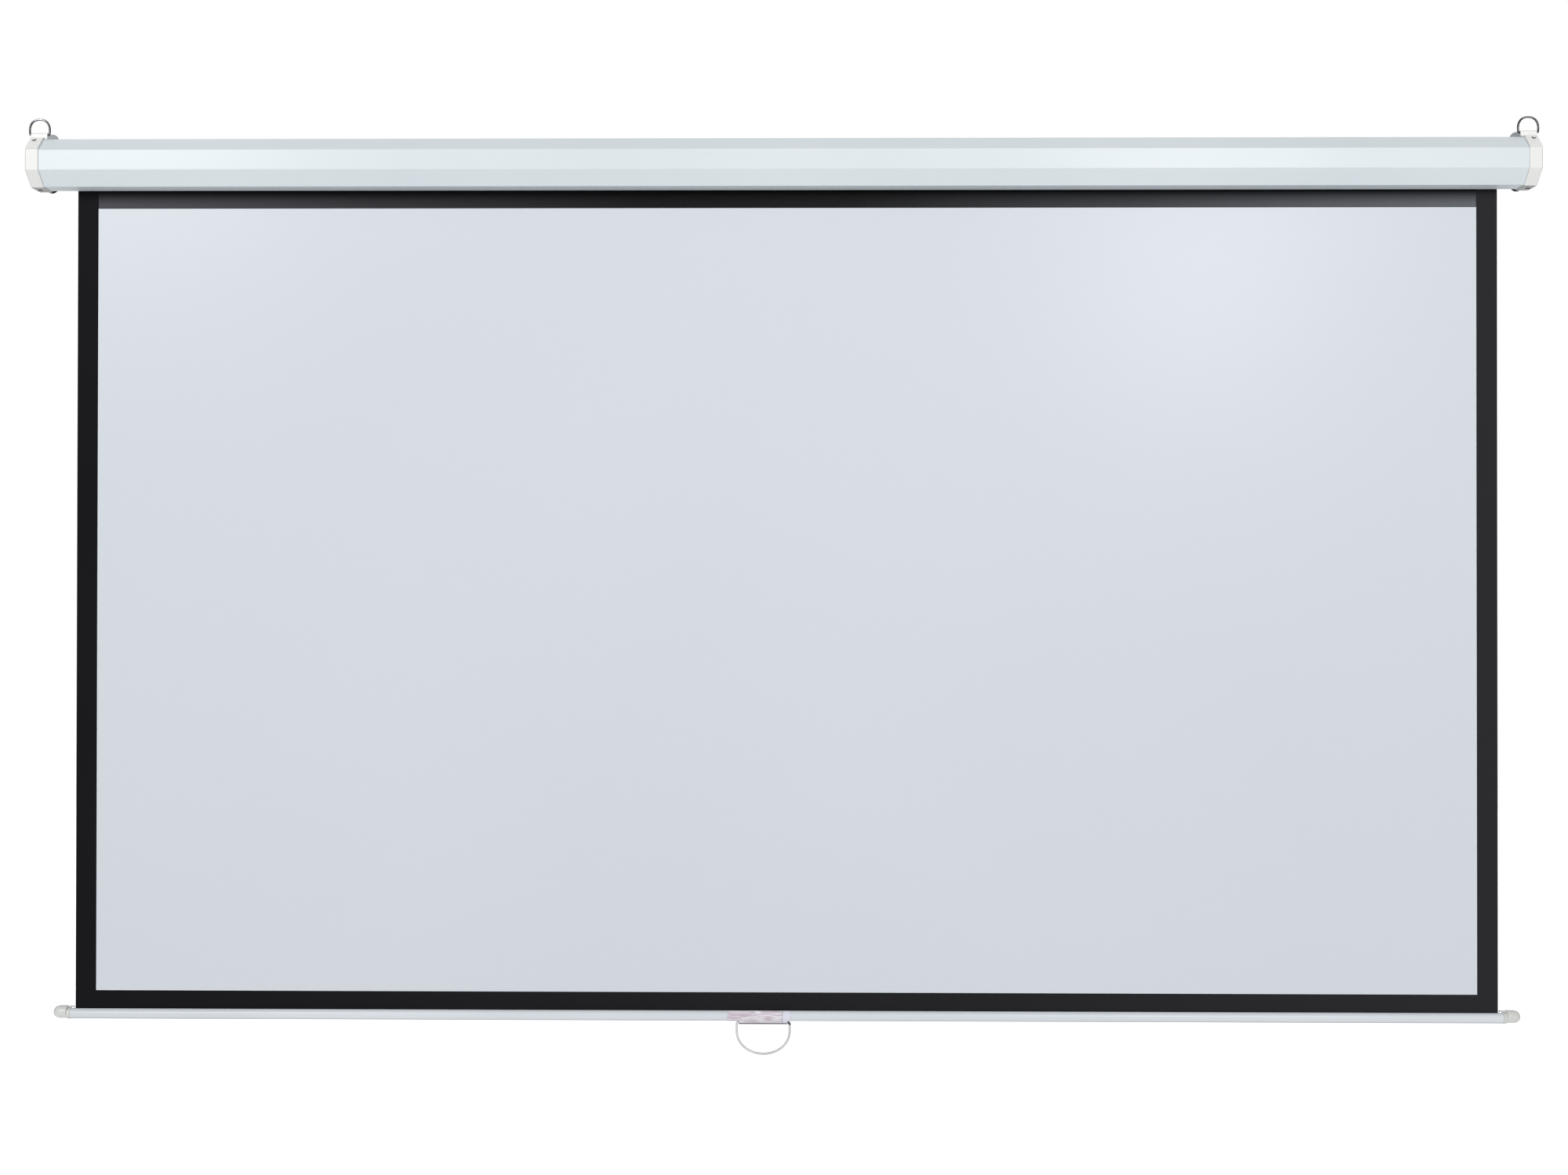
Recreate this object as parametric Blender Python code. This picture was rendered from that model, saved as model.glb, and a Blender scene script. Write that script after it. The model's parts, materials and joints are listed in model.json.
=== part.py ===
"""Pull down projector screen: an octagonal steel case that hangs on a wall or from two rings.

A spring roller inside the case carries the cloth, a weight bar keeps the cloth flat, and a
wire handle under the bar pulls it down. Units are metres and +Z is up. The wall is the plane
Y = 0 and the viewer stands on the -Y side. The origin is on the wall, in the middle of the
case's length, level with the roller's axis. An inset is a distance from one end of the case
towards its middle.
"""
import math

import bmesh
import bpy
from mathutils import Vector

# Fits
CLEARANCE = 0.0003          # gap between two pieces that touch or turn in one another

# Case: one strip of sheet steel, rolled to an octagon that is open at the cloth slot
CASE_FLATS = 0.070          # across the octagon's flats
CASE_SHEET = 0.0008
CASE_BEND = 0.0012          # bend radius at the middle of the sheet
SLOT_HALF_GAP = 0.0040      # from the cloth to either lip
LIP_HEIGHT = 0.0055         # lips turned up into the case, so that the cloth rubs on no edge

# End caps
CAP_DEPTH = 0.0185
CAP_SKIRT = 0.0014
CAP_WALL = 0.0025
CAP_CORNER = 0.0022
CAP_EDGE = 0.0008           # rounding of the cap's outer rim
CAP_EDGE_ANGLE = 60.0       # corners sharper than this are rounded

# Wall plates behind the end caps
WALL_SHEET = 0.0020
WALL_PLATE_WIDTH = 0.0185
WALL_PLATE_TOP = 0.0552
WALL_PLATE_BOTTOM = -0.0330
KEYHOLE_HEIGHT = 0.0400     # centre of the hole that lets the screw head in
KEYHOLE_RADIUS = 0.0043
KEYHOLE_SLOT = 0.0048
KEYHOLE_RISE = 0.0058

# Hangers and rings on top
HANGER_SHEET = 0.0010
HANGER_WIDTH = 0.0240
HANGER_INSET = 0.0122       # centre of hanger and ring
HANGER_TOP = 0.0442
HANGER_LEG_END = 0.0138     # how far the leg runs down from the slant's middle
HANGER_LEG_WIDTH = 0.0181
HANGER_CURL = 235.0         # degrees of curl round the ring's bar
RING_WIRE = 0.0030
RING_WIDTH = 0.0324
RING_HEIGHT = 0.0240        # from the bar's axis to the top of the wire
RING_SHOULDER = 0.0060      # height at which the ring is widest
RING_FOOT_INSET = 0.0004    # how much narrower the foot is than the shoulder, each side
RING_FOOT_BEND = 0.0021
RING_ARCH = 2.3             # 2 makes the top an ellipse, more makes it squarer

# Fasteners
SCREW_INSET = 0.0073
SCREW_SHANK = 0.0032
SCREW_HEAD = 0.0054
SCREW_HEAD_HEIGHT = 0.0018
SCREW_DOME = ((0.45, 1.0), (0.82, 0.72), (1.0, 0.3))  # shares of the head's height and radius
SCREW_TIP = 0.6             # share of the shank's radius
SCREW_REACH = 0.0060        # how far the tip stands inside the case
SLANT_SCREW_RISE = 0.0070   # from the slant's middle, up the slant
WALL_SCREW_HEIGHT = 0.0080
WALL_SCREW_HEAD = 0.0066

# Cloth
FACE_WIDTH = 2.0370         # white picture area
FACE_HEIGHT = 1.1586
FACE_SHEET = 0.00035
SIDE_BORDER = 0.03075       # black cloth beside the white area
TOP_DROP = 0.0606           # from the roller's axis to the white area
BOTTOM_DROP = 0.0343        # from the white area to the bar's axis
BACKING_SHEET = 0.0005
CLOTH_OFFSET = 0.0055       # the spring end is longer than the idle end
CASE_MARGIN = 0.05075       # case beyond the cloth, half of both ends together
WRAP_TURNS = 2              # turns that stay on the roller when the cloth is down

# Roller
TUBE_RADIUS = 0.0160
TUBE_SHEET = 0.0010
SPRING_TUBE_INSET = 0.0233
IDLE_TUBE_INSET = SPRING_TUBE_INSET - 2 * CLOTH_OFFSET
PLUG_LENGTH = 0.0200        # length that stands in the tube
PLUG_NOSE = 0.0090          # length that the spring or the pin sits on

# Carriers between the end caps and the case
CARRIER_SHEET = 0.0015

# Spring motor at the left end
ARBOR_RADIUS = 0.0040
TANG_THICKNESS = 0.0030
RATCHET_INSET = 0.0100
RATCHET_WIDTH = 0.0030
NOTCH_DEPTH = 0.0020
NOTCH_WALL = 0.0011         # disc left between the notch's floor and the tang's hole
NOTCH_HALF_WIDTH = 0.0015
NOTCH_LEAN = 0.0006         # how far the notch's wall leans back, along the path of the pawl's tip
NOTCH_RAMP = 18.0           # degrees of the disc taken by the notch's ramp
PAWL_CUP_INSET = 0.0080
PAWL_CUP_FLOOR = 0.0150
PAWL_WIDTH = 0.0026
PAWL_EYE = 0.0028
PAWL_EYE_ENDS = (240, 480)  # degrees round the eye where the pawl's sides meet it
PAWL_NOSE = 0.0018          # height of the nose's front face
PAWL_PIN = 0.0015
PAWL_PIN_HEAD = 0.0024
PAWL_PIN_HEAD_HEIGHT = 0.0010
PAWL_PIN_SEAT = 0.0045      # depth of the pin in the plug
PAWL_CUP_GAP = 0.0004       # from the pawl's eye to the wall of the cup
PAWL_DISC_GAP = 0.0017      # from the pawl's eye to the disc
PAWL_PIVOT_ANGLE = 52.5     # degrees from the rear, at the axis
PAWL_LIFT = 16.0            # degrees between seated in the notch and clear of the disc
PAWL_THROW = 34.0           # degrees from clear of the disc to the cup's rim
SPRING_WIRE = 0.0020
SPRING_RADIUS = 0.0086      # to the middle of the wire
SPRING_PITCH = 0.0026
SPRING_TURNS = 22
SPRING_STEPS = 10           # straight pieces in one turn of the spring
COLLAR_RADIUS = 0.0120
COLLAR_LENGTH = 0.0100
STEADY_GAP = 0.0060
STEADY_LENGTH = 0.0080

# Idle end at the right
PIN_RADIUS = 0.0030
PIN_TIP_INSET = 0.0035
BUSH_RADIUS = 0.0047
BUSH_FLANGE = 0.0080
IDLE_COLLAR = 0.0030

# Weight bar
BAR_RADIUS = 0.00775
BAR_SHEET = 0.0009
HEM_END_GAP = 0.00075       # from the cloth's side to the plug of the bar's cap
BAR_SLOT = 0.0026
HEM_ROD_RADIUS = 0.0025
NOSE_RADIUS = 0.00925
NOSE_LIFT = 0.0023
NOSE_LENGTH = 0.0200
NOSE_SHAFT = 0.0090         # straight part of the nose
NOSE_FULLNESS = 2.4         # 2 makes the dome an ellipse, more makes it blunter
BAR_COLLAR_RADIUS = 0.0081
BAR_COLLAR_LENGTH = 0.0055
BAR_PLUG_LENGTH = 0.0055
TONGUE_LENGTH = 0.0088
TONGUE_THICKNESS = 0.0010
TONGUE_WIDTH = 0.0050

# Pull handle and the saddle that carries it
SADDLE_LEFT = -0.0773
SADDLE_RIGHT = 0.0153
SADDLE_SHEET = 0.0008
SADDLE_FRONT_ANGLE = 115.0
SADDLE_REAR_ANGLE = 45.0
SADDLE_WAIST_ANGLE = 55.0   # from the rear, down to where the pocket starts
SADDLE_NOTCH_HEIGHT = 0.0075
HANDLE_CENTRE = -0.0249
HANDLE_WIRE = 0.0036
HANDLE_WIDTH = 0.0816
HANDLE_DROP = 0.0484        # from the hinge to the bottom of the wire
HANDLE_SIDE = 0.0140        # straight part of the sides
HANDLE_BEND = 0.0030

# Facets of round shapes
FINE_SIDES = 32
SIDES = 24
SMALL_SIDES = 16
BEND_STEPS = 3
CURL_STEPS = 12
RING_STEPS = 18
HANDLE_STEPS = 20
SADDLE_STEPS = 9
EYE_STEPS = 10
DOME_STEPS = 6
ROUND_SHADING = 38.0        # degrees between faces up to which a round piece is smooth

# Sizes and places that follow from the sizes above
CLOTH_WIDTH = FACE_WIDTH + 2 * SIDE_BORDER
CASE_LENGTH = CLOTH_WIDTH + 2 * CASE_MARGIN
BAR_LENGTH = CLOTH_WIDTH + 2 * (HEM_END_GAP + BAR_PLUG_LENGTH)
BAR_HEIGHT = -(TOP_DROP + FACE_HEIGHT + BOTTOM_DROP)
SKIRT_FLATS = CASE_FLATS + 2 * (CLEARANCE + CAP_SKIRT)
AXIS_Y = -(SKIRT_FLATS / 2 + CLEARANCE + WALL_SHEET)
TUBE_BORE = TUBE_RADIUS - TUBE_SHEET
BORE_FIT = TUBE_BORE - CLEARANCE
PAWL_PIVOT_RADIUS = BORE_FIT - PAWL_CUP_GAP - PAWL_EYE
RATCHET_RADIUS = PAWL_PIVOT_RADIUS - PAWL_EYE - PAWL_DISC_GAP
NOTCH_FLOOR = RATCHET_RADIUS - NOTCH_DEPTH
TANG_HEIGHT = 2 * (NOTCH_FLOOR - NOTCH_WALL - CLEARANCE)
WRAP_PITCH = BACKING_SHEET + CLEARANCE
WRAP_START = TUBE_RADIUS + CLEARANCE + BACKING_SHEET / 2
CLOTH_Y = WRAP_START + WRAP_TURNS * WRAP_PITCH
SHELL_INSET = CAP_WALL + CLEARANCE + CARRIER_SHEET + CLEARANCE
CARRIER_INSET = CAP_WALL + CLEARANCE
PLUG_END_INSET = SPRING_TUBE_INSET - CLEARANCE + PLUG_LENGTH
SPRING_START = PLUG_END_INSET + CLEARANCE + SPRING_WIRE / 2
SPRING_END = SPRING_START + SPRING_TURNS * SPRING_PITCH
COLLAR_INSET = SPRING_END + SPRING_WIRE / 2 + CLEARANCE
STEADY_INSET = COLLAR_INSET + COLLAR_LENGTH + STEADY_GAP
ARBOR_END = STEADY_INSET + STEADY_LENGTH + CLEARANCE
SPIGOT_RADIUS = SPRING_RADIUS * math.cos(math.pi / SPRING_STEPS) - SPRING_WIRE / 2 - CLEARANCE
HEM_OUTER = HEM_ROD_RADIUS + CLEARANCE + BACKING_SHEET
HINGE_DROP = BAR_RADIUS + CLEARANCE + HANDLE_WIRE / 2
RIGHT, LEFT = 1, -1
SIDE_NAMES = {LEFT: "left", RIGHT: "right"}


def linear(channel):
    """Linear value of one sRGB channel between 0 and 1."""
    if channel <= 0.04045:
        return channel / 12.92
    return ((channel + 0.055) / 1.055) ** 2.4


def material(name, colour, roughness, metallic=0.0):
    """Material with an sRGB hex colour; one that exists already is used again."""
    found = bpy.data.materials.get(name)
    if found:
        return found
    made = bpy.data.materials.new(name)
    made.use_nodes = True
    shader = made.node_tree.nodes["Principled BSDF"]
    channels = [linear(int(colour[i:i + 2], 16) / 255) for i in (0, 2, 4)]
    shader.inputs["Base Color"].default_value = (*channels, 1.0)
    shader.inputs["Roughness"].default_value = roughness
    shader.inputs["Metallic"].default_value = metallic
    made.diffuse_color = (*channels, 1.0)
    return made


def white_enamel():
    return material("white_enamel", "E4EBF0", 0.38)


def warm_enamel():
    return material("warm_enamel", "ECECE8", 0.42)


def grey_enamel():
    return material("grey_enamel", "96999B", 0.45)


def polished_steel():
    return material("polished_steel", "A9A9AB", 0.18, 1.0)


def zinc_steel():
    return material("zinc_steel", "B7BABD", 0.35, 1.0)


def spring_steel():
    return material("spring_steel", "6C6E72", 0.32, 1.0)


def tube_steel():
    return material("tube_steel", "9EA2A6", 0.40, 1.0)


def natural_nylon():
    return material("natural_nylon", "E2DFD2", 0.50)


def bar_enamel():
    return material("bar_enamel", "DCE1E5", 0.36)


def cap_plastic():
    return material("cap_plastic", "CDCEC8", 0.34)


def handle_enamel():
    return material("handle_enamel", "CDCDCE", 0.36)


def black_cloth():
    return material("black_cloth", "26262A", 0.85)


def white_cloth():
    return material("white_cloth", "DCE3E8", 0.90)


def octagon(flats):
    """Corners of a regular octagon, counterclockwise from the one at the upper rear."""
    radius = flats / 2 / math.cos(math.pi / 8)
    angles = [math.pi / 8 + k * math.pi / 4 for k in range(8)]
    return [(radius * math.cos(a), radius * math.sin(a)) for a in angles]


def arc(centre, radius, start, end, steps):
    """Points on an arc, its angles in degrees, both ends included."""
    angles = [math.radians(start + (end - start) * k / steps) for k in range(steps + 1)]
    return [(centre[0] + radius * math.cos(a), centre[1] + radius * math.sin(a)) for a in angles]


def rounded_corner(before, corner, after, radius):
    """Arc that takes the place of one corner of an outline."""
    point = Vector(corner)
    back = (Vector(before) - point).normalized()
    ahead = (Vector(after) - point).normalized()
    half = back.angle(ahead) / 2
    centre = point + (back + ahead).normalized() * radius / math.sin(half)
    start = point + back * radius / math.tan(half) - centre
    end = point + ahead * radius / math.tan(half) - centre
    turn = start.angle_signed(end)
    points = []
    for k in range(BEND_STEPS + 1):
        angle = -turn * k / BEND_STEPS
        x = start.x * math.cos(angle) - start.y * math.sin(angle)
        y = start.x * math.sin(angle) + start.y * math.cos(angle)
        points.append((centre.x + x, centre.y + y))
    return points


def rounded(points, radius, closed=True):
    """Outline or open path with every corner rounded to one radius."""
    count = len(points)
    result = []
    for k, point in enumerate(points):
        if not closed and k in (0, count - 1):
            result.append(tuple(point))
            continue
        result += rounded_corner(points[k - 1], point, points[(k + 1) % count], radius)
    return result


def parallel(points, distance):
    """Open path moved sideways by a distance, to the left of its direction."""
    result = []
    for k, point in enumerate(points):
        here = Vector(point)
        back = here - Vector(points[k - 1]) if k else Vector(points[1]) - here
        ahead = Vector(points[k + 1]) - here if k < len(points) - 1 else back
        normals = [Vector((-d.y, d.x)).normalized() for d in (back, ahead)]
        middle = (normals[0] + normals[1]).normalized()
        result.append(tuple(here + middle * distance / middle.dot(normals[0])))
    return result


def strip(path, thickness):
    """Outline of a bent sheet whose middle follows an open path."""
    return parallel(path, thickness / 2) + parallel(path, -thickness / 2)[::-1]


def finish_mesh(name, bm, origin, finish, smooth=ROUND_SHADING):
    """Object from a bmesh, with faces pointing out, smooth up to an angle or flat at 0."""
    bmesh.ops.recalc_face_normals(bm, faces=bm.faces)
    mesh = bpy.data.meshes.new(name)
    bm.to_mesh(mesh)
    bm.free()
    if smooth:
        mesh.shade_smooth()
        mesh.set_sharp_from_angle(angle=math.radians(smooth))
    mesh.materials.append(finish)
    obj = bpy.data.objects.new(name, mesh)
    obj.location = origin
    bpy.context.scene.collection.objects.link(obj)
    return obj


def prism(name, outline, start, end, origin, finish, along="X", smooth=0):
    """Outline in the YZ plane pushed along X, or in the XZ plane pushed along Y."""
    bm = bmesh.new()
    if along == "X":
        corners = [bm.verts.new((start, a, b)) for a, b in outline]
        push = Vector((end - start, 0, 0))
    else:
        corners = [bm.verts.new((a, start, b)) for a, b in outline]
        push = Vector((0, end - start, 0))
    face = bm.faces.new(corners)
    moved = bmesh.ops.extrude_face_region(bm, geom=[face], use_keep_orig=True)
    ends = [v for v in moved["geom"] if isinstance(v, bmesh.types.BMVert)]
    bmesh.ops.translate(bm, verts=ends, vec=push)
    return finish_mesh(name, bm, origin, finish, smooth)


def ring_of_vertices(bm, height, radius, sides):
    if radius == 0:
        return [bm.verts.new((0, 0, height))]
    angles = [2 * math.pi * k / sides for k in range(sides)]
    return [bm.verts.new((radius * math.cos(a), radius * math.sin(a), height)) for a in angles]


def join_rings(bm, lower, upper, sides):
    for k in range(sides):
        after = (k + 1) % sides
        corners = [lower[k % len(lower)], lower[after % len(lower)],
                   upper[after % len(upper)], upper[k % len(upper)]]
        unique = list(dict.fromkeys(corners))
        if len(unique) > 2:
            bm.faces.new(unique)


def turned(name, profile, origin, finish, direction=(1, 0, 0), sides=SIDES):
    """Turned piece from pairs of height and radius along its own axis.

    A profile that starts and ends on the axis makes a solid piece, and any other is a closed
    loop round a bore.
    """
    bm = bmesh.new()
    rings = [ring_of_vertices(bm, height, radius, sides) for height, radius in profile]
    pairs = list(zip(rings, rings[1:]))
    if profile[0][1] > 0:
        pairs.append((rings[-1], rings[0]))
    for lower, upper in pairs:
        join_rings(bm, lower, upper, sides)
    obj = finish_mesh(name, bm, origin, finish)
    obj.rotation_mode = "QUATERNION"
    obj.rotation_quaternion = Vector(direction).to_track_quat("Z", "Y")
    return obj


def wire(name, points, radius, origin, finish, closed=True, round_steps=2):
    """Bent wire along a list of points."""
    curve = bpy.data.curves.new(name, "CURVE")
    curve.dimensions = "3D"
    curve.bevel_depth = radius
    curve.bevel_resolution = round_steps
    curve.use_fill_caps = True
    spline = curve.splines.new("POLY")
    spline.points.add(len(points) - 1)
    for slot, point in zip(spline.points, points):
        slot.co = (*point, 1.0)
    spline.use_cyclic_u = closed
    spline.use_smooth = True
    curve.materials.append(finish)
    obj = bpy.data.objects.new(name, curve)
    obj.location = origin
    bpy.context.scene.collection.objects.link(obj)
    return obj


def boolean(target, tool, operation="DIFFERENCE"):
    """Cut a piece with a tool, or join the tool to it, and leave the tool out of the model."""
    modifier = target.modifiers.new(tool.name, "BOOLEAN")
    modifier.operation = operation
    modifier.solver = "EXACT"
    modifier.object = tool
    tool.hide_render = True
    tool.display_type = "WIRE"


def drill(name, origin, direction, radius, reach, sides=SMALL_SIDES):
    """Straight round cutter centred on its origin."""
    profile = [(-reach, 0), (-reach, radius), (reach, radius), (reach, 0)]
    return turned(name, profile, origin, zinc_steel(), direction, sides)


def end_x(side, inset):
    """X of a place that lies an inset away from one end of the case."""
    return side * (CASE_LENGTH / 2 - inset)


def on_axis(side, inset):
    return (end_x(side, inset), AXIS_Y, 0)


def from_end(side, profile, start):
    """Profile given in insets, as heights along the inward direction from an inset."""
    return [(inset - start, radius) for inset, radius in profile]


def fastener_sites(side):
    """Name, place on the case's outer face, direction and stack height of each screw."""
    x = end_x(side, SCREW_INSET)
    flat = CASE_FLATS / 2
    skirt = CLEARANCE + CAP_SKIRT
    diagonal = math.sqrt(0.5)
    slant = (x, AXIS_Y + (SLANT_SCREW_RISE - flat) * diagonal, (flat + SLANT_SCREW_RISE) * diagonal)
    sites = [("hanger_screw", slant, (0, -diagonal, diagonal), skirt + CLEARANCE + HANGER_SHEET),
             ("bottom_screw", (x, AXIS_Y, -flat), (0, 0, -1), skirt)]
    for level, height in (("upper", WALL_SCREW_HEIGHT), ("lower", -WALL_SCREW_HEIGHT)):
        sites.append((f"wall_plate_screw_{level}", (x, AXIS_Y + flat, height), (0, 1, 0), skirt))
    return sites


def screw_hole(side, site, tag, radius=SCREW_SHANK / 2 + CLEARANCE):
    name, place, direction, _ = site
    return drill(f"cutter_{tag}_{name}_{SIDE_NAMES[side]}", place, direction, radius, 2 * SCREW_REACH)


def case_path():
    """Middle of the case's sheet, from the rear lip over the top to the front lip."""
    corners = octagon(CASE_FLATS - CASE_SHEET)
    half = (CASE_FLATS - CASE_SHEET) / 2
    front = CLOTH_Y - SLOT_HALF_GAP
    rear = CLOTH_Y + SLOT_HALF_GAP
    rear_height = corners[6][1] + rear - corners[6][0]
    path = [(rear, rear_height + LIP_HEIGHT), (rear, rear_height), corners[7]]
    path += corners[0:6]
    path += [(front, -half), (front, LIP_HEIGHT - half)]
    return path


def case_shell():
    outline = strip(rounded(case_path(), CASE_BEND, closed=False), CASE_SHEET)
    start, end = end_x(LEFT, SHELL_INSET), end_x(RIGHT, SHELL_INSET)
    shell = prism("case_shell", outline, start, end, (0, AXIS_Y, 0), white_enamel())
    for side in (LEFT, RIGHT):
        for site in fastener_sites(side):
            boolean(shell, screw_hole(side, site, "case"))


def end_cap(side):
    """Octagonal cup that closes one end of the case."""
    name = f"end_cap_{SIDE_NAMES[side]}"
    origin = (0, AXIS_Y, 0)
    outline = rounded(octagon(SKIRT_FLATS), CAP_CORNER)
    cap = prism(name, outline, end_x(side, 0), end_x(side, CAP_DEPTH), origin, warm_enamel())
    bevel = cap.modifiers.new("rounded_rim", "BEVEL")
    bevel.limit_method = "ANGLE"
    bevel.angle_limit = math.radians(CAP_EDGE_ANGLE)
    bevel.width = CAP_EDGE / 2
    bevel.segments = 2
    pocket_outline = rounded(octagon(CASE_FLATS + 2 * CLEARANCE), CAP_CORNER - CAP_SKIRT)
    pocket = prism(f"cutter_pocket_{name}", pocket_outline, end_x(side, CAP_WALL),
                   end_x(side, 2 * CAP_DEPTH), origin, warm_enamel())
    boolean(cap, pocket)
    for site in fastener_sites(side):
        boolean(cap, screw_hole(side, site, "cap"))


def hanger_path():
    """Middle of the hanger's sheet, from the leg's end up to the curl."""
    diagonal = math.sqrt(0.5)
    distance = SKIRT_FLATS / 2 + CLEARANCE + HANGER_SHEET / 2
    middle = Vector((-distance * diagonal, distance * diagonal))
    along = Vector((diagonal, diagonal))
    curl_radius = RING_WIRE / 2 + CLEARANCE + HANGER_SHEET / 2
    bar_y, bar_z = ring_axis()
    front = bar_y - curl_radius
    bend = middle + along * ((front - middle.x) / diagonal)
    foot = middle - along * HANGER_LEG_END
    path = rounded([tuple(foot), tuple(bend), (front, bar_z)], HANGER_SHEET, closed=False)
    curl = arc((bar_y, bar_z), curl_radius, 180, 180 - HANGER_CURL, CURL_STEPS)
    return path + curl[1:]


def ring_axis():
    """Centre of the ring's bar, from the roller's axis."""
    corner = octagon(SKIRT_FLATS)[2]
    curl_radius = RING_WIRE / 2 + CLEARANCE + HANGER_SHEET / 2
    height = HANGER_TOP - HANGER_SHEET - CLEARANCE - RING_WIRE / 2
    return corner[0] - HANGER_SHEET + curl_radius, height


def hanger(side):
    """Sheet metal clip: its leg is screwed to the cap's slant and its top curls round the ring."""
    name = f"hanger_{SIDE_NAMES[side]}"
    outer = end_x(side, HANGER_INSET - HANGER_WIDTH / 2)
    inner = end_x(side, HANGER_INSET + HANGER_WIDTH / 2)
    origin = (0, AXIS_Y, 0)
    clip = prism(name, strip(hanger_path(), HANGER_SHEET), outer, inner, origin, warm_enamel())
    corner = octagon(SKIRT_FLATS)[2]
    low = corner[1] - CASE_FLATS
    box = [(-CASE_FLATS, low), (corner[0], low), (corner[0], corner[1]), (-CASE_FLATS, corner[1])]
    edge = end_x(side, HANGER_INSET - HANGER_WIDTH / 2 + HANGER_LEG_WIDTH)
    trim = prism(f"cutter_leg_{name}", box, edge, end_x(side, CAP_DEPTH + HANGER_WIDTH), origin,
                 warm_enamel())
    boolean(clip, trim)
    boolean(clip, screw_hole(side, fastener_sites(side)[0], "hanger"))


def ring_outline():
    """D shape in the XZ plane, its bar on the origin."""
    half = (RING_WIDTH - RING_WIRE) / 2
    top = RING_HEIGHT - RING_WIRE / 2 - RING_SHOULDER
    power = 2 / RING_ARCH
    points = []
    for k in range(RING_STEPS + 1):
        angle = math.pi * k / RING_STEPS
        x, z = math.cos(angle), math.sin(angle)
        points.append((half * math.copysign(abs(x) ** power, x), RING_SHOULDER + top * z ** power))
    foot = half - RING_FOOT_INSET
    left = rounded_corner(points[-1], (-foot, 0), (foot, 0), RING_FOOT_BEND)
    right = rounded_corner((-foot, 0), (foot, 0), points[0], RING_FOOT_BEND)
    return points + left + right


def ring(side):
    bar_y, bar_z = ring_axis()
    points = [(x, 0, z) for x, z in ring_outline()]
    origin = (end_x(side, HANGER_INSET), AXIS_Y + bar_y, bar_z)
    wire(f"ring_{SIDE_NAMES[side]}", points, RING_WIRE / 2, origin, polished_steel())


def keyhole_outline(centre):
    """Round hole with a slot above it, where the shank slides up."""
    half = KEYHOLE_SLOT / 2
    opening = math.degrees(math.asin(half / KEYHOLE_RADIUS))
    hole = arc((centre, KEYHOLE_HEIGHT), KEYHOLE_RADIUS, 90 + opening, 450 - opening, SMALL_SIDES)
    top = arc((centre, KEYHOLE_HEIGHT + KEYHOLE_RISE), half, 0, 180, SMALL_SIDES // 2)
    return hole + top


def wall_plate(side):
    """Plate behind one end cap, with a keyhole in its ear above the case."""
    name = f"wall_plate_{SIDE_NAMES[side]}"
    half = WALL_PLATE_WIDTH / 2
    centre = end_x(side, half)
    outline = arc((centre, WALL_PLATE_TOP - half), half, 0, 180, SMALL_SIDES)
    outline += arc((centre, WALL_PLATE_BOTTOM + half), half, 180, 360, SMALL_SIDES)
    plate = prism(name, outline, -WALL_SHEET, 0, (0, 0, 0), grey_enamel(), along="Y")
    keyhole = prism(f"cutter_keyhole_{name}", keyhole_outline(centre), -2 * WALL_SHEET, WALL_SHEET,
                    (0, 0, 0), grey_enamel(), along="Y")
    boolean(plate, keyhole)
    for site in fastener_sites(side)[2:]:
        boolean(plate, countersink(side, site))


def countersunk(seat, head, gap):
    """Radii and heights of a countersunk head that ends flush with the plate's rear face."""
    shank = SCREW_SHANK / 2 + gap
    top = seat + CLEARANCE + WALL_SHEET
    depth = head - SCREW_SHANK / 2
    return [(top - depth, shank), (top, head + gap)]


def countersink(side, site):
    name, place, direction, seat = site
    cone = countersunk(seat, WALL_SCREW_HEAD / 2, CLEARANCE)
    bottom, top = cone[0][0] - WALL_SHEET, cone[1][0] + WALL_SHEET
    wide = cone[1][1] + WALL_SHEET
    profile = [(bottom, 0), (bottom, cone[0][1]), cone[0], (top, wide), (top, 0)]
    return turned(f"cutter_sink_{name}_{SIDE_NAMES[side]}", profile, place, zinc_steel(), direction,
                  SMALL_SIDES)


def screw_tip():
    shank = SCREW_SHANK / 2
    return [(-SCREW_REACH, 0), (-SCREW_REACH, shank * SCREW_TIP), (shank - SCREW_REACH, shank)]


def pan_screw(side, site):
    """Screw with a domed head, its height measured from the case's outer face."""
    name, place, direction, stack = site
    seat = stack + CLEARANCE
    profile = screw_tip() + [(seat, SCREW_SHANK / 2), (seat, SCREW_HEAD / 2)]
    for height, radius in SCREW_DOME:
        profile.append((seat + SCREW_HEAD_HEIGHT * height, SCREW_HEAD / 2 * radius))
    profile.append((seat + SCREW_HEAD_HEIGHT, 0))
    turned(f"{name}_{SIDE_NAMES[side]}", profile, place, zinc_steel(), direction, SMALL_SIDES)


def flush_screw(side, site):
    """Countersunk screw whose head ends just below the wall plate's rear face."""
    name, place, direction, stack = site
    low, high = countersunk(stack, WALL_SCREW_HEAD / 2, 0)
    sunk = CLEARANCE / 2
    head = [(low[0] - sunk, low[1]), (high[0] - sunk, high[1]), (high[0] - sunk, 0)]
    profile = screw_tip() + head
    turned(f"{name}_{SIDE_NAMES[side]}", profile, place, zinc_steel(), direction, SMALL_SIDES)


def fasteners(side):
    sites = fastener_sites(side)
    for site in sites[:2]:
        pan_screw(side, site)
    for site in sites[2:]:
        flush_screw(side, site)


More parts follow.
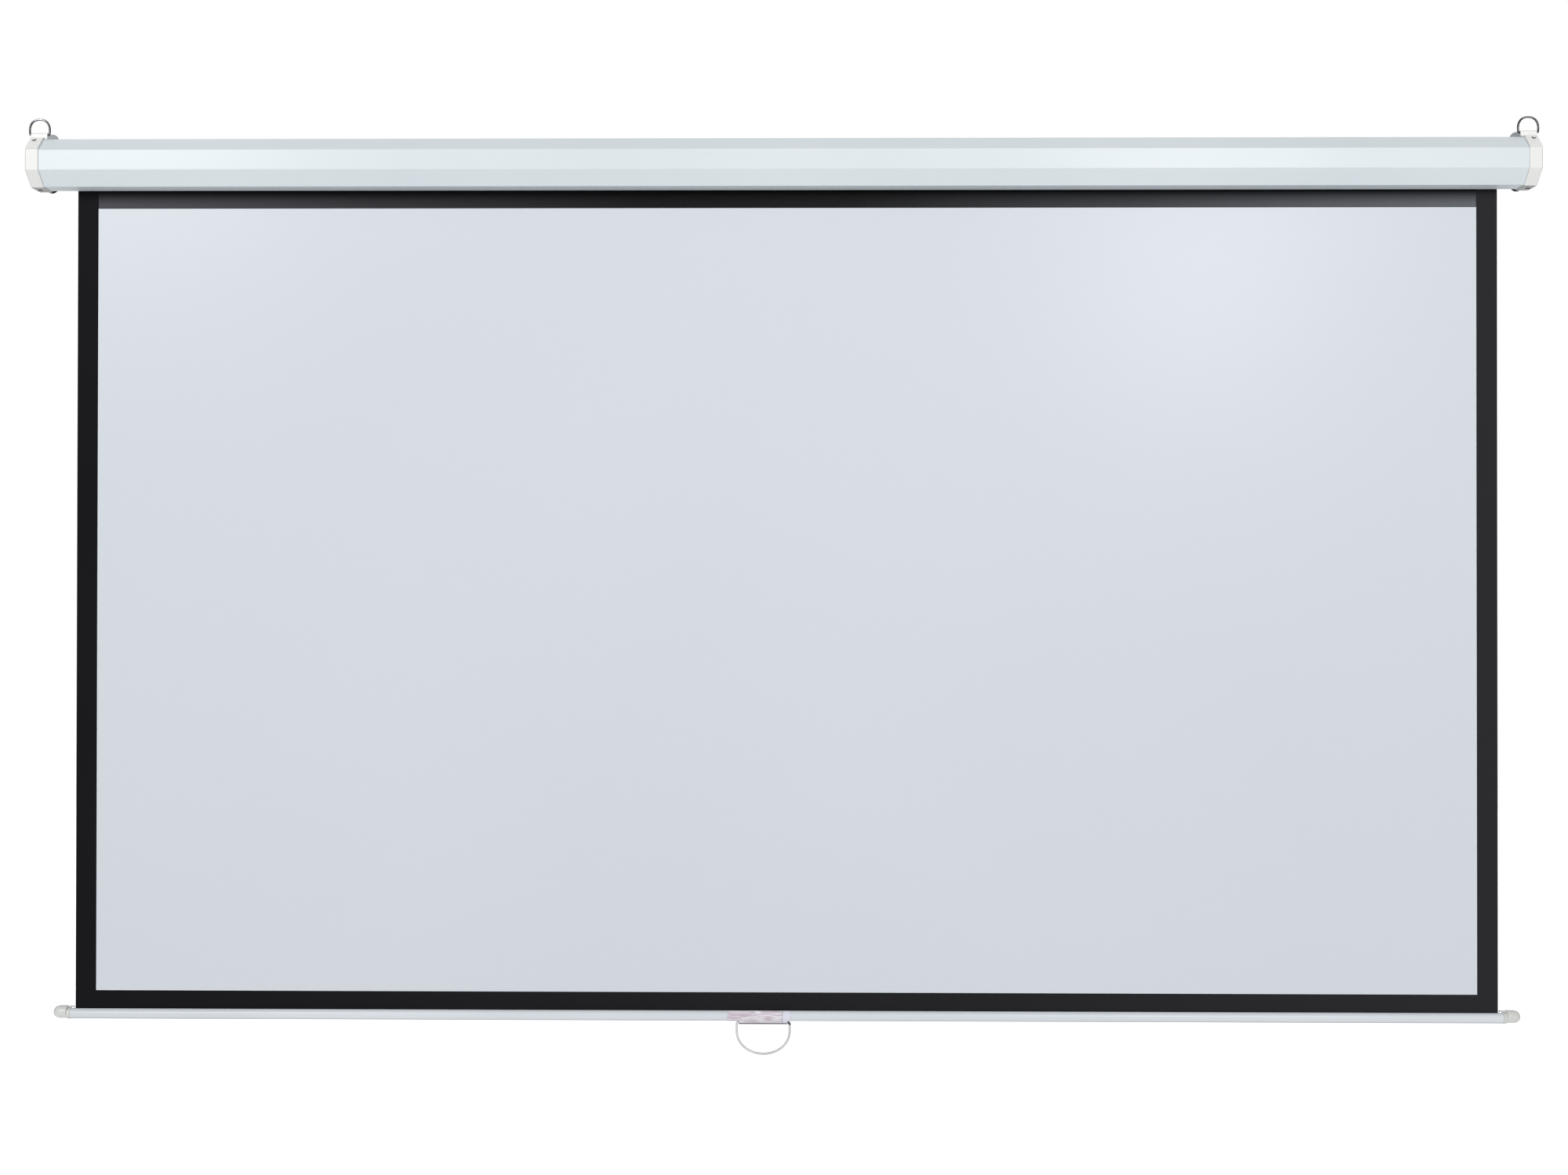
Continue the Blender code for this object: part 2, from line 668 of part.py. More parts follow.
def carrier(side):
    """Steel plate held between the cap's wall and the end of the case."""
    name = f"carrier_{SIDE_NAMES[side]}"
    outline = rounded(octagon(CASE_FLATS), CAP_CORNER - CAP_SKIRT)
    start, end = end_x(side, CARRIER_INSET), end_x(side, CARRIER_INSET + CARRIER_SHEET)
    plate = prism(name, outline, start, end, (0, AXIS_Y, 0), zinc_steel())
    if side == LEFT:
        hole = prism("cutter_tang", rectangle(TANG_THICKNESS, TANG_HEIGHT, CLEARANCE),
                     end_x(side, 0), end_x(side, 2 * SHELL_INSET), (0, AXIS_Y, 0), zinc_steel())
    else:
        hole = drill("cutter_bush", on_axis(side, CARRIER_INSET), (1, 0, 0),
                     BUSH_RADIUS + CLEARANCE, 2 * SHELL_INSET, SIDES)
    boolean(plate, hole)


def rectangle(width, height, margin=0.0):
    half_width, half_height = width / 2 + margin, height / 2 + margin
    return [(-half_width, -half_height), (half_width, -half_height),
            (half_width, half_height), (-half_width, half_height)]


def arbor():
    """Fixed shaft of the spring motor: a flat tang outside and a round rod inside."""
    shoulder = RATCHET_INSET + RATCHET_WIDTH + CLEARANCE
    profile = from_end(LEFT, [(shoulder, 0), (shoulder, ARBOR_RADIUS), (ARBOR_END, ARBOR_RADIUS),
                              (ARBOR_END, 0)], 0)
    rod = turned("arbor", profile, on_axis(LEFT, 0), zinc_steel())
    tang = prism("cutter_tang_union", rectangle(TANG_THICKNESS, TANG_HEIGHT),
                 end_x(LEFT, CARRIER_INSET + CLEARANCE), end_x(LEFT, shoulder + ARBOR_RADIUS),
                 (0, AXIS_Y, 0), zinc_steel())
    boolean(rod, tang, "UNION")


def ratchet_outline():
    """Disc with one notch on top: a steep wall in front and a ramp behind."""
    steep = math.degrees(math.acos(-(NOTCH_HALF_WIDTH + NOTCH_LEAN) / RATCHET_RADIUS))
    ramp_angle = math.degrees(math.acos(NOTCH_HALF_WIDTH / RATCHET_RADIUS)) - NOTCH_RAMP
    disc = arc((0, 0), RATCHET_RADIUS, steep, 360 + ramp_angle, SIDES)
    return disc + [(NOTCH_HALF_WIDTH / 2, NOTCH_FLOOR), (-NOTCH_HALF_WIDTH, NOTCH_FLOOR)]


def ratchet():
    disc = prism("ratchet_disc", ratchet_outline(), end_x(LEFT, RATCHET_INSET),
                 end_x(LEFT, RATCHET_INSET + RATCHET_WIDTH), (0, AXIS_Y, 0), spring_steel())
    hole = prism("cutter_ratchet", rectangle(TANG_THICKNESS, TANG_HEIGHT, CLEARANCE),
                 end_x(LEFT, 0), end_x(LEFT, 2 * RATCHET_INSET), (0, AXIS_Y, 0), spring_steel())
    boolean(disc, hole)


def pawl_pivot(turn):
    """Pivot of a pawl from the roller's axis, half a turn apart for the two pawls."""
    angle = math.radians(PAWL_PIVOT_ANGLE + turn)
    return PAWL_PIVOT_RADIUS * math.cos(angle), PAWL_PIVOT_RADIUS * math.sin(angle)


def pawl_outline():
    """Pawl seated in the notch, drawn from its pivot."""
    pivot_y, pivot_z = pawl_pivot(0)
    tip = CLEARANCE - NOTCH_HALF_WIDTH
    low = NOTCH_FLOOR + CLEARANCE
    heel = (tip + NOTCH_HALF_WIDTH, low)
    throat = (heel[0] + NOTCH_HALF_WIDTH, RATCHET_RADIUS)
    points = [(tip, low + PAWL_NOSE), (tip, low), heel, throat]
    nose = [(y - pivot_y, z - pivot_z) for y, z in points]
    return nose + arc((0, 0), PAWL_EYE, *PAWL_EYE_ENDS, EYE_STEPS)


def turned_by(points, degrees):
    angle = math.radians(degrees)
    return [(y * math.cos(angle) - z * math.sin(angle), y * math.sin(angle) + z * math.cos(angle))
            for y, z in points]


def pawl(name, turn, swing):
    """Pawl on its pin; swing is its angle from the seated position."""
    pivot_y, pivot_z = pawl_pivot(turn)
    middle = RATCHET_INSET + RATCHET_WIDTH / 2
    origin = (end_x(LEFT, middle), AXIS_Y + pivot_y, pivot_z)
    half = PAWL_WIDTH / 2
    piece = prism(name, turned_by(pawl_outline(), turn + swing), -half, half, origin, spring_steel())
    boolean(piece, drill(f"cutter_{name}", origin, (1, 0, 0), PAWL_PIN + CLEARANCE, PAWL_WIDTH))


def pawl_pin(name, turn):
    pivot_y, pivot_z = pawl_pivot(turn)
    head = RATCHET_INSET + (RATCHET_WIDTH - PAWL_WIDTH) / 2 - CLEARANCE
    start = head - PAWL_PIN_HEAD_HEIGHT
    end = PAWL_CUP_FLOOR + PAWL_PIN_SEAT
    profile = [(start, 0), (start, PAWL_PIN_HEAD), (head, PAWL_PIN_HEAD), (head, PAWL_PIN),
               (end, PAWL_PIN), (end, 0)]
    origin = (end_x(LEFT, 0), AXIS_Y + pivot_y, pivot_z)
    turned(name, from_end(LEFT, profile, 0), origin, zinc_steel(), sides=SMALL_SIDES)


def spring_plug():
    """Plug at the spring end: a cup for the pawls, a spigot in the tube and a nose for the spring."""
    bore = ARBOR_RADIUS + CLEARANCE
    shoulder = SPRING_TUBE_INSET - CLEARANCE
    profile = [(PAWL_CUP_INSET, TUBE_RADIUS), (shoulder, TUBE_RADIUS), (shoulder, BORE_FIT),
               (PLUG_END_INSET, BORE_FIT), (PLUG_END_INSET, SPIGOT_RADIUS),
               (PLUG_END_INSET + PLUG_NOSE, SPIGOT_RADIUS), (PLUG_END_INSET + PLUG_NOSE, bore),
               (PAWL_CUP_FLOOR, bore), (PAWL_CUP_FLOOR, BORE_FIT), (PAWL_CUP_INSET, BORE_FIT)]
    plug = turned("spring_plug", from_end(LEFT, profile, 0), on_axis(LEFT, 0), natural_nylon(),
                  sides=FINE_SIDES)
    for name, turn in PAWL_TURNS.items():
        pivot_y, pivot_z = pawl_pivot(turn)
        origin = (end_x(LEFT, PAWL_CUP_FLOOR), AXIS_Y + pivot_y, pivot_z)
        reach = PAWL_PIN_SEAT + CLEARANCE
        boolean(plug, drill(f"cutter_plug_{name}", origin, (1, 0, 0), PAWL_PIN + CLEARANCE, reach))


def torsion_spring():
    """Spring round the arbor, wound by formula; its gap to itself is the pitch less the wire."""
    points = []
    for k in range(SPRING_TURNS * SPRING_STEPS + 1):
        angle = 2 * math.pi * k / SPRING_STEPS
        points.append((SPRING_PITCH * k / SPRING_STEPS, SPRING_RADIUS * math.cos(angle),
                       SPRING_RADIUS * math.sin(angle)))
    wire("torsion_spring", points, SPRING_WIRE / 2, on_axis(LEFT, SPRING_START), spring_steel(),
         closed=False, round_steps=1)


def arbor_collar():
    """Collar fixed on the arbor that holds the still end of the spring."""
    bore = ARBOR_RADIUS + CLEARANCE
    nose, end = COLLAR_INSET - PLUG_NOSE, COLLAR_INSET + COLLAR_LENGTH
    profile = [(nose, SPIGOT_RADIUS), (COLLAR_INSET, SPIGOT_RADIUS), (COLLAR_INSET, COLLAR_RADIUS),
               (end, COLLAR_RADIUS), (end, bore), (nose, bore)]
    turned("arbor_collar", from_end(LEFT, profile, 0), on_axis(LEFT, 0), zinc_steel())


def arbor_steady():
    """Nylon disc that keeps the arbor's inner end in the middle of the tube."""
    bore = ARBOR_RADIUS + CLEARANCE
    end = STEADY_INSET + STEADY_LENGTH
    profile = [(STEADY_INSET, BORE_FIT), (end, BORE_FIT), (end, bore), (STEADY_INSET, bore)]
    turned("arbor_steady", from_end(LEFT, profile, 0), on_axis(LEFT, 0), natural_nylon(),
           sides=FINE_SIDES)


def roller_tube():
    start = end_x(LEFT, SPRING_TUBE_INSET)
    length = end_x(RIGHT, IDLE_TUBE_INSET) - start
    profile = [(0, TUBE_RADIUS), (length, TUBE_RADIUS), (length, TUBE_BORE), (0, TUBE_BORE)]
    turned("roller_tube", profile, (start, AXIS_Y, 0), tube_steel(), sides=FINE_SIDES)


def idle_plug():
    """Plug at the idle end, bored for the pin."""
    bore = PIN_RADIUS + CLEARANCE
    shoulder = IDLE_TUBE_INSET - CLEARANCE
    face, end = shoulder - IDLE_COLLAR, shoulder + PLUG_LENGTH
    profile = [(face, TUBE_RADIUS), (shoulder, TUBE_RADIUS), (shoulder, BORE_FIT), (end, BORE_FIT),
               (end, bore), (face, bore)]
    turned("idle_plug", from_end(RIGHT, profile, 0), on_axis(RIGHT, 0), natural_nylon(), (-1, 0, 0),
           FINE_SIDES)


def idle_pin():
    end = IDLE_TUBE_INSET + PLUG_LENGTH - CLEARANCE
    profile = [(PIN_TIP_INSET, 0), (PIN_TIP_INSET, PIN_RADIUS), (end, PIN_RADIUS), (end, 0)]
    turned("idle_pin", from_end(RIGHT, profile, 0), on_axis(RIGHT, 0), zinc_steel(), (-1, 0, 0),
           SMALL_SIDES)


def idle_bush():
    """Flanged bush in the right carrier, in which the pin turns."""
    face = IDLE_TUBE_INSET - 2 * CLEARANCE - IDLE_COLLAR
    bore = PIN_RADIUS + CLEARANCE
    profile = [(CARRIER_INSET, BUSH_RADIUS), (SHELL_INSET, BUSH_RADIUS), (SHELL_INSET, BUSH_FLANGE),
               (face, BUSH_FLANGE), (face, bore), (CARRIER_INSET, bore)]
    turned("idle_bush", from_end(RIGHT, profile, 0), on_axis(RIGHT, 0), natural_nylon(), (-1, 0, 0))


def cloth_edges():
    return CLOTH_OFFSET - CLOTH_WIDTH / 2, CLOTH_OFFSET + CLOTH_WIDTH / 2


def cloth_wraps():
    """Turns of cloth left on the roller, wound outwards to where the sheet hangs down."""
    steps = SIDES * WRAP_TURNS
    path = []
    for k in range(steps + 1):
        radius = WRAP_START + WRAP_PITCH * WRAP_TURNS * k / steps
        angle = -2 * math.pi * WRAP_TURNS * k / steps
        path.append((radius * math.cos(angle), radius * math.sin(angle)))
    left, right = cloth_edges()
    prism("cloth_wraps", strip(path, BACKING_SHEET), left, right, (0, AXIS_Y, 0), black_cloth(),
          smooth=ROUND_SHADING)


def hem_height():
    """Height of the hem rod above the bar's axis, where the hem bears on the slot's lips."""
    inner = BAR_RADIUS - BAR_SHEET
    half_slot = BAR_SLOT / 2
    lip = math.sqrt(inner ** 2 - half_slot ** 2)
    return lip - math.sqrt(HEM_OUTER ** 2 - half_slot ** 2) - CLEARANCE


def hanging_cloth():
    """Black sheet from the roller to the hem, and the white picture area in front of it."""
    left, right = cloth_edges()
    half = BACKING_SHEET / 2
    bottom = BAR_HEIGHT + hem_height() + HEM_OUTER + CLEARANCE
    sheet = [(-half, bottom), (half, bottom), (half, -CLEARANCE), (-half, -CLEARANCE)]
    origin = (0, AXIS_Y + CLOTH_Y, 0)
    prism("screen_backing", sheet, left, right, origin, black_cloth())
    rear = -half - CLEARANCE
    front = rear - FACE_SHEET
    bottom = -TOP_DROP - FACE_HEIGHT
    face = [(front, bottom), (rear, bottom), (rear, -TOP_DROP), (front, -TOP_DROP)]
    prism("screen_face", face, CLOTH_OFFSET - FACE_WIDTH / 2, CLOTH_OFFSET + FACE_WIDTH / 2, origin,
          white_cloth())


def bar_origin(x=0.0, rise=0.0):
    return (x, AXIS_Y + CLOTH_Y, BAR_HEIGHT + rise)


def weight_bar():
    """Split tube whose slot takes the cloth's hem."""
    middle = BAR_RADIUS - BAR_SHEET / 2
    opening = math.degrees(math.asin(BAR_SLOT / 2 / middle))
    path = arc((0, 0), middle, 90 + opening, 450 - opening, FINE_SIDES)
    start, end = CLOTH_OFFSET - BAR_LENGTH / 2, CLOTH_OFFSET + BAR_LENGTH / 2
    prism("weight_bar", strip(path, BAR_SHEET), start, end, bar_origin(), bar_enamel(),
          smooth=ROUND_SHADING)


def hem():
    """Rod in the cloth's hem, and the hem itself."""
    left, _ = cloth_edges()
    origin = bar_origin(left, hem_height())
    rod = [(0, 0), (0, HEM_ROD_RADIUS), (CLOTH_WIDTH, HEM_ROD_RADIUS), (CLOTH_WIDTH, 0)]
    turned("hem_rod", rod, origin, natural_nylon(), sides=SMALL_SIDES)
    bore = HEM_ROD_RADIUS + CLEARANCE
    sleeve = [(0, HEM_OUTER), (CLOTH_WIDTH, HEM_OUTER), (CLOTH_WIDTH, bore), (0, bore)]
    turned("cloth_hem", sleeve, origin, black_cloth(), sides=SMALL_SIDES)


def bar_cap_stations():
    """Distance from the bar's end, height and radius of each ring of the moulded cap."""
    plug = BAR_RADIUS - BAR_SHEET - CLEARANCE
    edge = CLEARANCE
    stations = [(-BAR_PLUG_LENGTH, 0, plug - edge), (edge - BAR_PLUG_LENGTH, 0, plug),
                (edge, 0, plug), (edge, 0, BAR_COLLAR_RADIUS),
                (BAR_COLLAR_LENGTH, 0, BAR_COLLAR_RADIUS),
                (BAR_COLLAR_LENGTH, NOSE_LIFT, NOSE_RADIUS),
                (BAR_COLLAR_LENGTH + NOSE_SHAFT, NOSE_LIFT, NOSE_RADIUS)]
    dome = NOSE_LENGTH - NOSE_SHAFT
    power = 2 / NOSE_FULLNESS
    for k in range(1, DOME_STEPS):
        angle = math.pi / 2 * k / DOME_STEPS
        reach = BAR_COLLAR_LENGTH + NOSE_SHAFT + dome * math.sin(angle) ** power
        stations.append((reach, NOSE_LIFT, NOSE_RADIUS * math.cos(angle) ** power))
    stations.append((BAR_COLLAR_LENGTH + NOSE_LENGTH, NOSE_LIFT, 0))
    return stations


def bar_cap(side):
    """Moulded cap in one end of the bar, with a tongue beside the cloth's corner."""
    name = f"bar_cap_{SIDE_NAMES[side]}"
    bm = bmesh.new()
    rings = []
    for reach, lift, radius in bar_cap_stations():
        ring_vertices = ring_of_vertices(bm, 0, radius, SIDES)
        for vertex in ring_vertices:
            vertex.co = (side * reach, vertex.co.x, vertex.co.y + lift)
        rings.append(ring_vertices)
    bm.faces.new(rings[0])
    for lower, upper in zip(rings, rings[1:]):
        join_rings(bm, lower, upper, SIDES)
    origin = bar_origin(CLOTH_OFFSET + side * BAR_LENGTH / 2)
    cap = finish_mesh(name, bm, origin, cap_plastic())
    top = NOSE_LIFT + NOSE_RADIUS * math.cos(math.asin(TONGUE_WIDTH / 2 / NOSE_RADIUS))
    half = TONGUE_WIDTH / 2
    outline = [(-half, top - TONGUE_THICKNESS), (half, top - TONGUE_THICKNESS), (half, top),
               (-half, top)]
    start = BAR_COLLAR_LENGTH - TONGUE_LENGTH
    tongue = prism(f"cutter_tongue_{name}", outline, side * start,
                   side * (BAR_COLLAR_LENGTH + NOSE_SHAFT / 2), origin, cap_plastic())
    boolean(cap, tongue, "UNION")


def saddle_path():
    """Middle of the saddle's sheet: round the bar, with a pocket under it for the handle."""
    around = BAR_RADIUS + CLEARANCE + SADDLE_SHEET / 2
    pocket = HANDLE_WIRE / 2 + CLEARANCE + SADDLE_SHEET / 2
    waist = SADDLE_WAIST_ANGLE
    front = arc((0, 0), around, SADDLE_FRONT_ANGLE, 180 + waist, SADDLE_STEPS)
    under = arc((0, -HINGE_DROP), pocket, 180, 360, SADDLE_STEPS)
    rear = arc((0, 0), around, 360 - waist, 360 + SADDLE_REAR_ANGLE, SADDLE_STEPS)
    return front + under + rear


def saddle():
    """Spring clip round the bar; its ends are notched so that the handle's sides can swing."""
    outline = strip(saddle_path(), SADDLE_SHEET)
    clip = prism("handle_saddle", outline, SADDLE_LEFT, SADDLE_RIGHT, bar_origin(), bar_enamel(),
                 smooth=ROUND_SHADING)
    reach = HANDLE_WIDTH / 2 - HANDLE_WIRE / 2 - HANDLE_BEND
    width, low = 2 * BAR_RADIUS, -3 * BAR_RADIUS
    box = [(-width, low), (width, low), (width, -SADDLE_NOTCH_HEIGHT), (-width, -SADDLE_NOTCH_HEIGHT)]
    for side in (LEFT, RIGHT):
        edge = HANDLE_CENTRE + side * reach
        notch = prism(f"cutter_notch_{SIDE_NAMES[side]}", box, edge, edge + side * HANDLE_WIDTH,
                      bar_origin(), bar_enamel())
        boolean(clip, notch)


def handle_outline():
    """Closed loop in the XZ plane: bar on the hinge, straight sides and a round bottom."""
    half = (HANDLE_WIDTH - HANDLE_WIRE) / 2
    depth = HANDLE_DROP - HANDLE_WIRE / 2 - HANDLE_SIDE
    bottom = []
    for k in range(HANDLE_STEPS + 1):
        angle = math.pi * k / HANDLE_STEPS
        bottom.append((-half * math.cos(angle), -HANDLE_SIDE - depth * math.sin(angle)))
    right = rounded_corner(bottom[-1], (half, 0), (-half, 0), HANDLE_BEND)
    left = rounded_corner((half, 0), (-half, 0), bottom[0], HANDLE_BEND)
    return bottom + right + left


def handle():
    points = [(x, 0, z) for x, z in handle_outline()]
    origin = bar_origin(HANDLE_CENTRE, -HINGE_DROP)
    wire("pull_handle", points, HANDLE_WIRE / 2, origin, handle_enamel())


PAWL_TURNS = {"pawl_upper": 0.0, "pawl_lower": 180.0}
PAWL_SWINGS = {"pawl_upper": -PAWL_LIFT, "pawl_lower": -PAWL_LIFT - PAWL_THROW}


def build():
    case_shell()
    for side in (LEFT, RIGHT):
        end_cap(side)
        hanger(side)
        ring(side)
        wall_plate(side)
        fasteners(side)
        carrier(side)
        bar_cap(side)
    arbor()
    ratchet()
    torsion_spring()
    arbor_collar()
    spring_plug()
    arbor_steady()
    for name, turn in PAWL_TURNS.items():
        pawl(name, turn, PAWL_SWINGS[name])
        pawl_pin(name.replace("pawl", "pawl_pin"), turn)
    roller_tube()
    idle_plug()
    idle_pin()
    idle_bush()
    cloth_wraps()
    hanging_cloth()
    weight_bar()
    hem()
    saddle()
    handle()


for old in list(bpy.data.objects):
    bpy.data.objects.remove(old, do_unlink=True)
build()
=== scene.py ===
# %% [markdown]
# # A pull down projector screen
#
# This lesson dresses a finished CAD model of a projector screen: an eight-sided steel case, a
# cloth that hangs from a roller inside it, a weight bar and a wire handle. The CAD frame gives
# every piece its place and its joint. Here each visible piece gets its fine shape and its finish.

# %% Load the frame
import json
import math
from contextlib import contextmanager

import bmesh
import bpy
from mathutils import Euler, Matrix, Vector


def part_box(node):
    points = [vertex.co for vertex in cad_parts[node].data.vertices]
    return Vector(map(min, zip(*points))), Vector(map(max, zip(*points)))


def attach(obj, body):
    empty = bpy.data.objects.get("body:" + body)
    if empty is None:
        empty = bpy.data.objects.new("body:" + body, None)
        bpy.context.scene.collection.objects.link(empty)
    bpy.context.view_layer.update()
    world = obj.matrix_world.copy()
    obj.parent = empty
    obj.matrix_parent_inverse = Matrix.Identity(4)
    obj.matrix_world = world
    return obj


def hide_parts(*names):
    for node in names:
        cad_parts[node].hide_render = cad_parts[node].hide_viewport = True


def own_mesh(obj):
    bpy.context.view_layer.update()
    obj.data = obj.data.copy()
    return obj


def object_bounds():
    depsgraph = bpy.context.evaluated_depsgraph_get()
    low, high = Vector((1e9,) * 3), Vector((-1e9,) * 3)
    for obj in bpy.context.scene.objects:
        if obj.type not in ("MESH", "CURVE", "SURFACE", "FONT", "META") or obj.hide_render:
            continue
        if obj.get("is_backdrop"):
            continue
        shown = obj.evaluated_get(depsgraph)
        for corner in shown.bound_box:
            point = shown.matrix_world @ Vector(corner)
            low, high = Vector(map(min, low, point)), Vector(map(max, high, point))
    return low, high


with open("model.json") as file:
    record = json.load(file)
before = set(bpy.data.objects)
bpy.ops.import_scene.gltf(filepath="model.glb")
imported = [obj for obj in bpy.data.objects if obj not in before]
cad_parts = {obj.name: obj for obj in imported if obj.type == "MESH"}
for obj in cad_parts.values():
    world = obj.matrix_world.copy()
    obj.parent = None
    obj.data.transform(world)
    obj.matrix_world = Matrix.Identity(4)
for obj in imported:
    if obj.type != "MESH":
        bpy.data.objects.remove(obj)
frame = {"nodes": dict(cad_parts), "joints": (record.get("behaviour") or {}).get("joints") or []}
cad_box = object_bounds()
nodes = frame["nodes"]

# %% [markdown]
# ## Places that many pieces share
#
# A piece that fits another one should not be placed by eye. The frame's boxes say where the
# roller's axis runs, where the cloth hangs and how long the case is, so these few values are read
# from the frame once and used everywhere. All sizes are in metres, and +Z is up.

# %% Shared places
shell_low, shell_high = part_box("case_shell")
cap_low, cap_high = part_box("end_cap_right")
cloth_low, cloth_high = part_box("screen_backing")
face_low, face_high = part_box("screen_face")
bar_low, bar_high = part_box("weight_bar")
saddle_low, saddle_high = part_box("handle_saddle")
handle_low, handle_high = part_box("pull_handle")
AXIS_Y = (shell_low.y + shell_high.y) / 2
CLOTH_Y = (cloth_low.y + cloth_high.y) / 2
CASE_END = cap_high.x
CASE_FLATS = shell_high.z - shell_low.z
CAP_FLATS = cap_high.z - cap_low.z
BAR_Z = (bar_low.z + bar_high.z) / 2
BAR_RADIUS = (bar_high.y - bar_low.y) / 2
GAP = 0.0003
SIDES = {"left": -1, "right": 1}
print("case", round(2 * CASE_END, 4), "m long,", round(CASE_FLATS * 1000, 1), "mm across flats")

# %% [markdown]
# ## The camera
#
# The photograph was taken almost square on, from about 2.7 m, at the height of the screen's
# middle. Corners and edges were measured in it, and the camera's place and angles are the ones
# that put the same points of the model within a pixel or two. The camera stands 34 mm to the
# right and is turned to the middle, so the right side shows about one percent larger.

# %% Camera
CAMERA_PLACE = (0.0335, -2.6848, -0.6373)
CAMERA_YAW = 0.610          # degrees to the left
CAMERA_PITCH = 0.332        # degrees up
CAMERA_ROLL = 0.060
PHOTO_FOCAL = 2300.0        # in pixels of a picture that is 2000 pixels wide
PHOTO_WIDTH = 2000.0


def link(name, data):
    """Object of some data, placed in the scene."""
    made = bpy.data.objects.new(name, data)
    bpy.context.scene.collection.objects.link(made)
    return made


camera = link("camera", bpy.data.cameras.new("camera"))
camera.data.sensor_width = 36.0
camera.data.lens = PHOTO_FOCAL * camera.data.sensor_width / PHOTO_WIDTH
camera.location = CAMERA_PLACE
level = Euler((math.radians(90 + CAMERA_PITCH), 0, math.radians(CAMERA_YAW))).to_matrix()
camera.rotation_euler = (level @ Matrix.Rotation(math.radians(CAMERA_ROLL), 3, "Z")).to_euler()
bpy.context.scene.camera = camera
bpy.context.scene.view_settings.view_transform = "Standard"
print("lens", round(camera.data.lens, 2), "mm")


# %% [markdown]
# ## Helpers for nodes and for colour
#
# Every material and node tree below is built from the same small step: add a node, set its values
# and link what feeds it. Colours are written as sRGB hex values, as a paint chart gives them, and
# one function turns them into the linear values that the shader wants.

# %% Helpers for nodes and colours
def feed(node, values):
    """Set inputs by name or number. A node as a value stands for its first output in use."""
    for key, value in values.items():
        if isinstance(value, bpy.types.Node):
            value = next(socket for socket in value.outputs if socket.enabled)
        if isinstance(value, bpy.types.NodeSocket):
            node.id_data.links.new(value, node.inputs[key])
        else:
            node.inputs[key].default_value = value
    return node


def add(owner, kind, values=None, **settings):
    """Add a node to a tree, a material or a world, with its settings and what feeds it."""
    node = getattr(owner, "node_tree", owner).nodes.new(kind)
    for name, value in settings.items():
        setattr(node, name, value)
    return feed(node, values or {})


def linear(code):
    """Linear red, green, blue and alpha of an sRGB hex value."""
    channels = [int(code[i:i + 2], 16) / 255 for i in (0, 2, 4)]
    return [c / 12.92 if c <= 0.04045 else ((c + 0.055) / 1.055) ** 2.4 for c in channels] + [1.0]


# %% [markdown]
# ## The studio
#
# The camera sees the screen in front of plain white. Light and reflections see a room instead:
# bright on the camera's side, nearly as bright above and below, and darker at the sides and
# behind. That is what black cards beside a set do, and it draws the thin dark outline on the
# rings and on rounded rims. Two softboxes stand where the photograph shows their faint glare: at
# the top left corner of the cloth, and a little inside the right end. The floor is pale and keeps
# the soft shadow.

# %% World
LIGHT_FRONT, LIGHT_CARDS = 0.57, 0.25          # what lights the object
MIRROR_FRONT, MIRROR_CARDS = 0.80, 0.03        # what shows in reflections
ABOVE_SHARE = 0.93                             # above and below, of the step from cards to front
FRONT_FROM, FRONT_FULL = -0.30, -0.90          # Y of the directions that count as the front
ABOVE_FROM, ABOVE_FULL = 0.3, 0.9              # Z of the directions that count as above or below


def seen_directly(owner):
    """The light path, and 1 for rays from the camera, straight or through glass, 0 for others."""
    path = add(owner, "ShaderNodeLightPath")
    sight = {0: path.outputs["Is Camera Ray"], 1: path.outputs["Is Transmission Ray"]}
    return path, add(owner, "ShaderNodeMath", sight, operation="ADD", use_clamp=True)


world = bpy.data.worlds.new("white_studio")
world.use_nodes = True
world.node_tree.nodes.clear()
path, directly = seen_directly(world)
ray = add(world, "ShaderNodeTexCoord")
compass = add(world, "ShaderNodeSeparateXYZ", {0: ray.outputs["Generated"]})
ahead = add(world, "ShaderNodeMapRange", {"Value": compass.outputs["Y"], "From Min": FRONT_FROM,
                                          "From Max": FRONT_FULL}, interpolation_type="SMOOTHSTEP")
rise = add(world, "ShaderNodeMath", {0: compass.outputs["Z"]}, operation="ABSOLUTE")
above = add(world, "ShaderNodeMapRange", {"Value": rise, "From Min": ABOVE_FROM, "From Max": ABOVE_FULL,
                                          "To Max": ABOVE_SHARE}, interpolation_type="SMOOTHSTEP")
room = add(world, "ShaderNodeMath", {0: ahead, 1: above}, operation="MAXIMUM")
strengths = [add(world, "ShaderNodeMapRange", {"Value": room, "To Min": low, "To Max": high})
             for low, high in ((LIGHT_CARDS, LIGHT_FRONT), (MIRROR_CARDS, MIRROR_FRONT))]
lit, mirrored, white = [add(world, "ShaderNodeBackground", {"Color": linear(code), "Strength": strength})
                        for code, strength in zip(("FBFCFF", "FFFFFF", "FFFFFF"), (*strengths, 1.0))]
unseen = add(world, "ShaderNodeMixShader", {0: path.outputs["Is Glossy Ray"], 1: lit, 2: mirrored})
either = add(world, "ShaderNodeMixShader", {0: directly, 1: unseen, 2: white})
add(world, "ShaderNodeOutputWorld", {"Surface": either})
bpy.context.scene.world = world
print("room light", LIGHT_CARDS, "at the cards,", LIGHT_FRONT, "in front")

# %% Floor and lamps
FLOOR_HEIGHT = -2.35
FLOOR_SIDE, FLOOR_FRONT, FLOOR_BACK = 9, -7, 12
FLOOR_GLOW = 0.75           # seen by the camera, on top of the light that falls on the floor
FLOOR_BOUNCE = 0.235        # the same for the light that the floor sends up

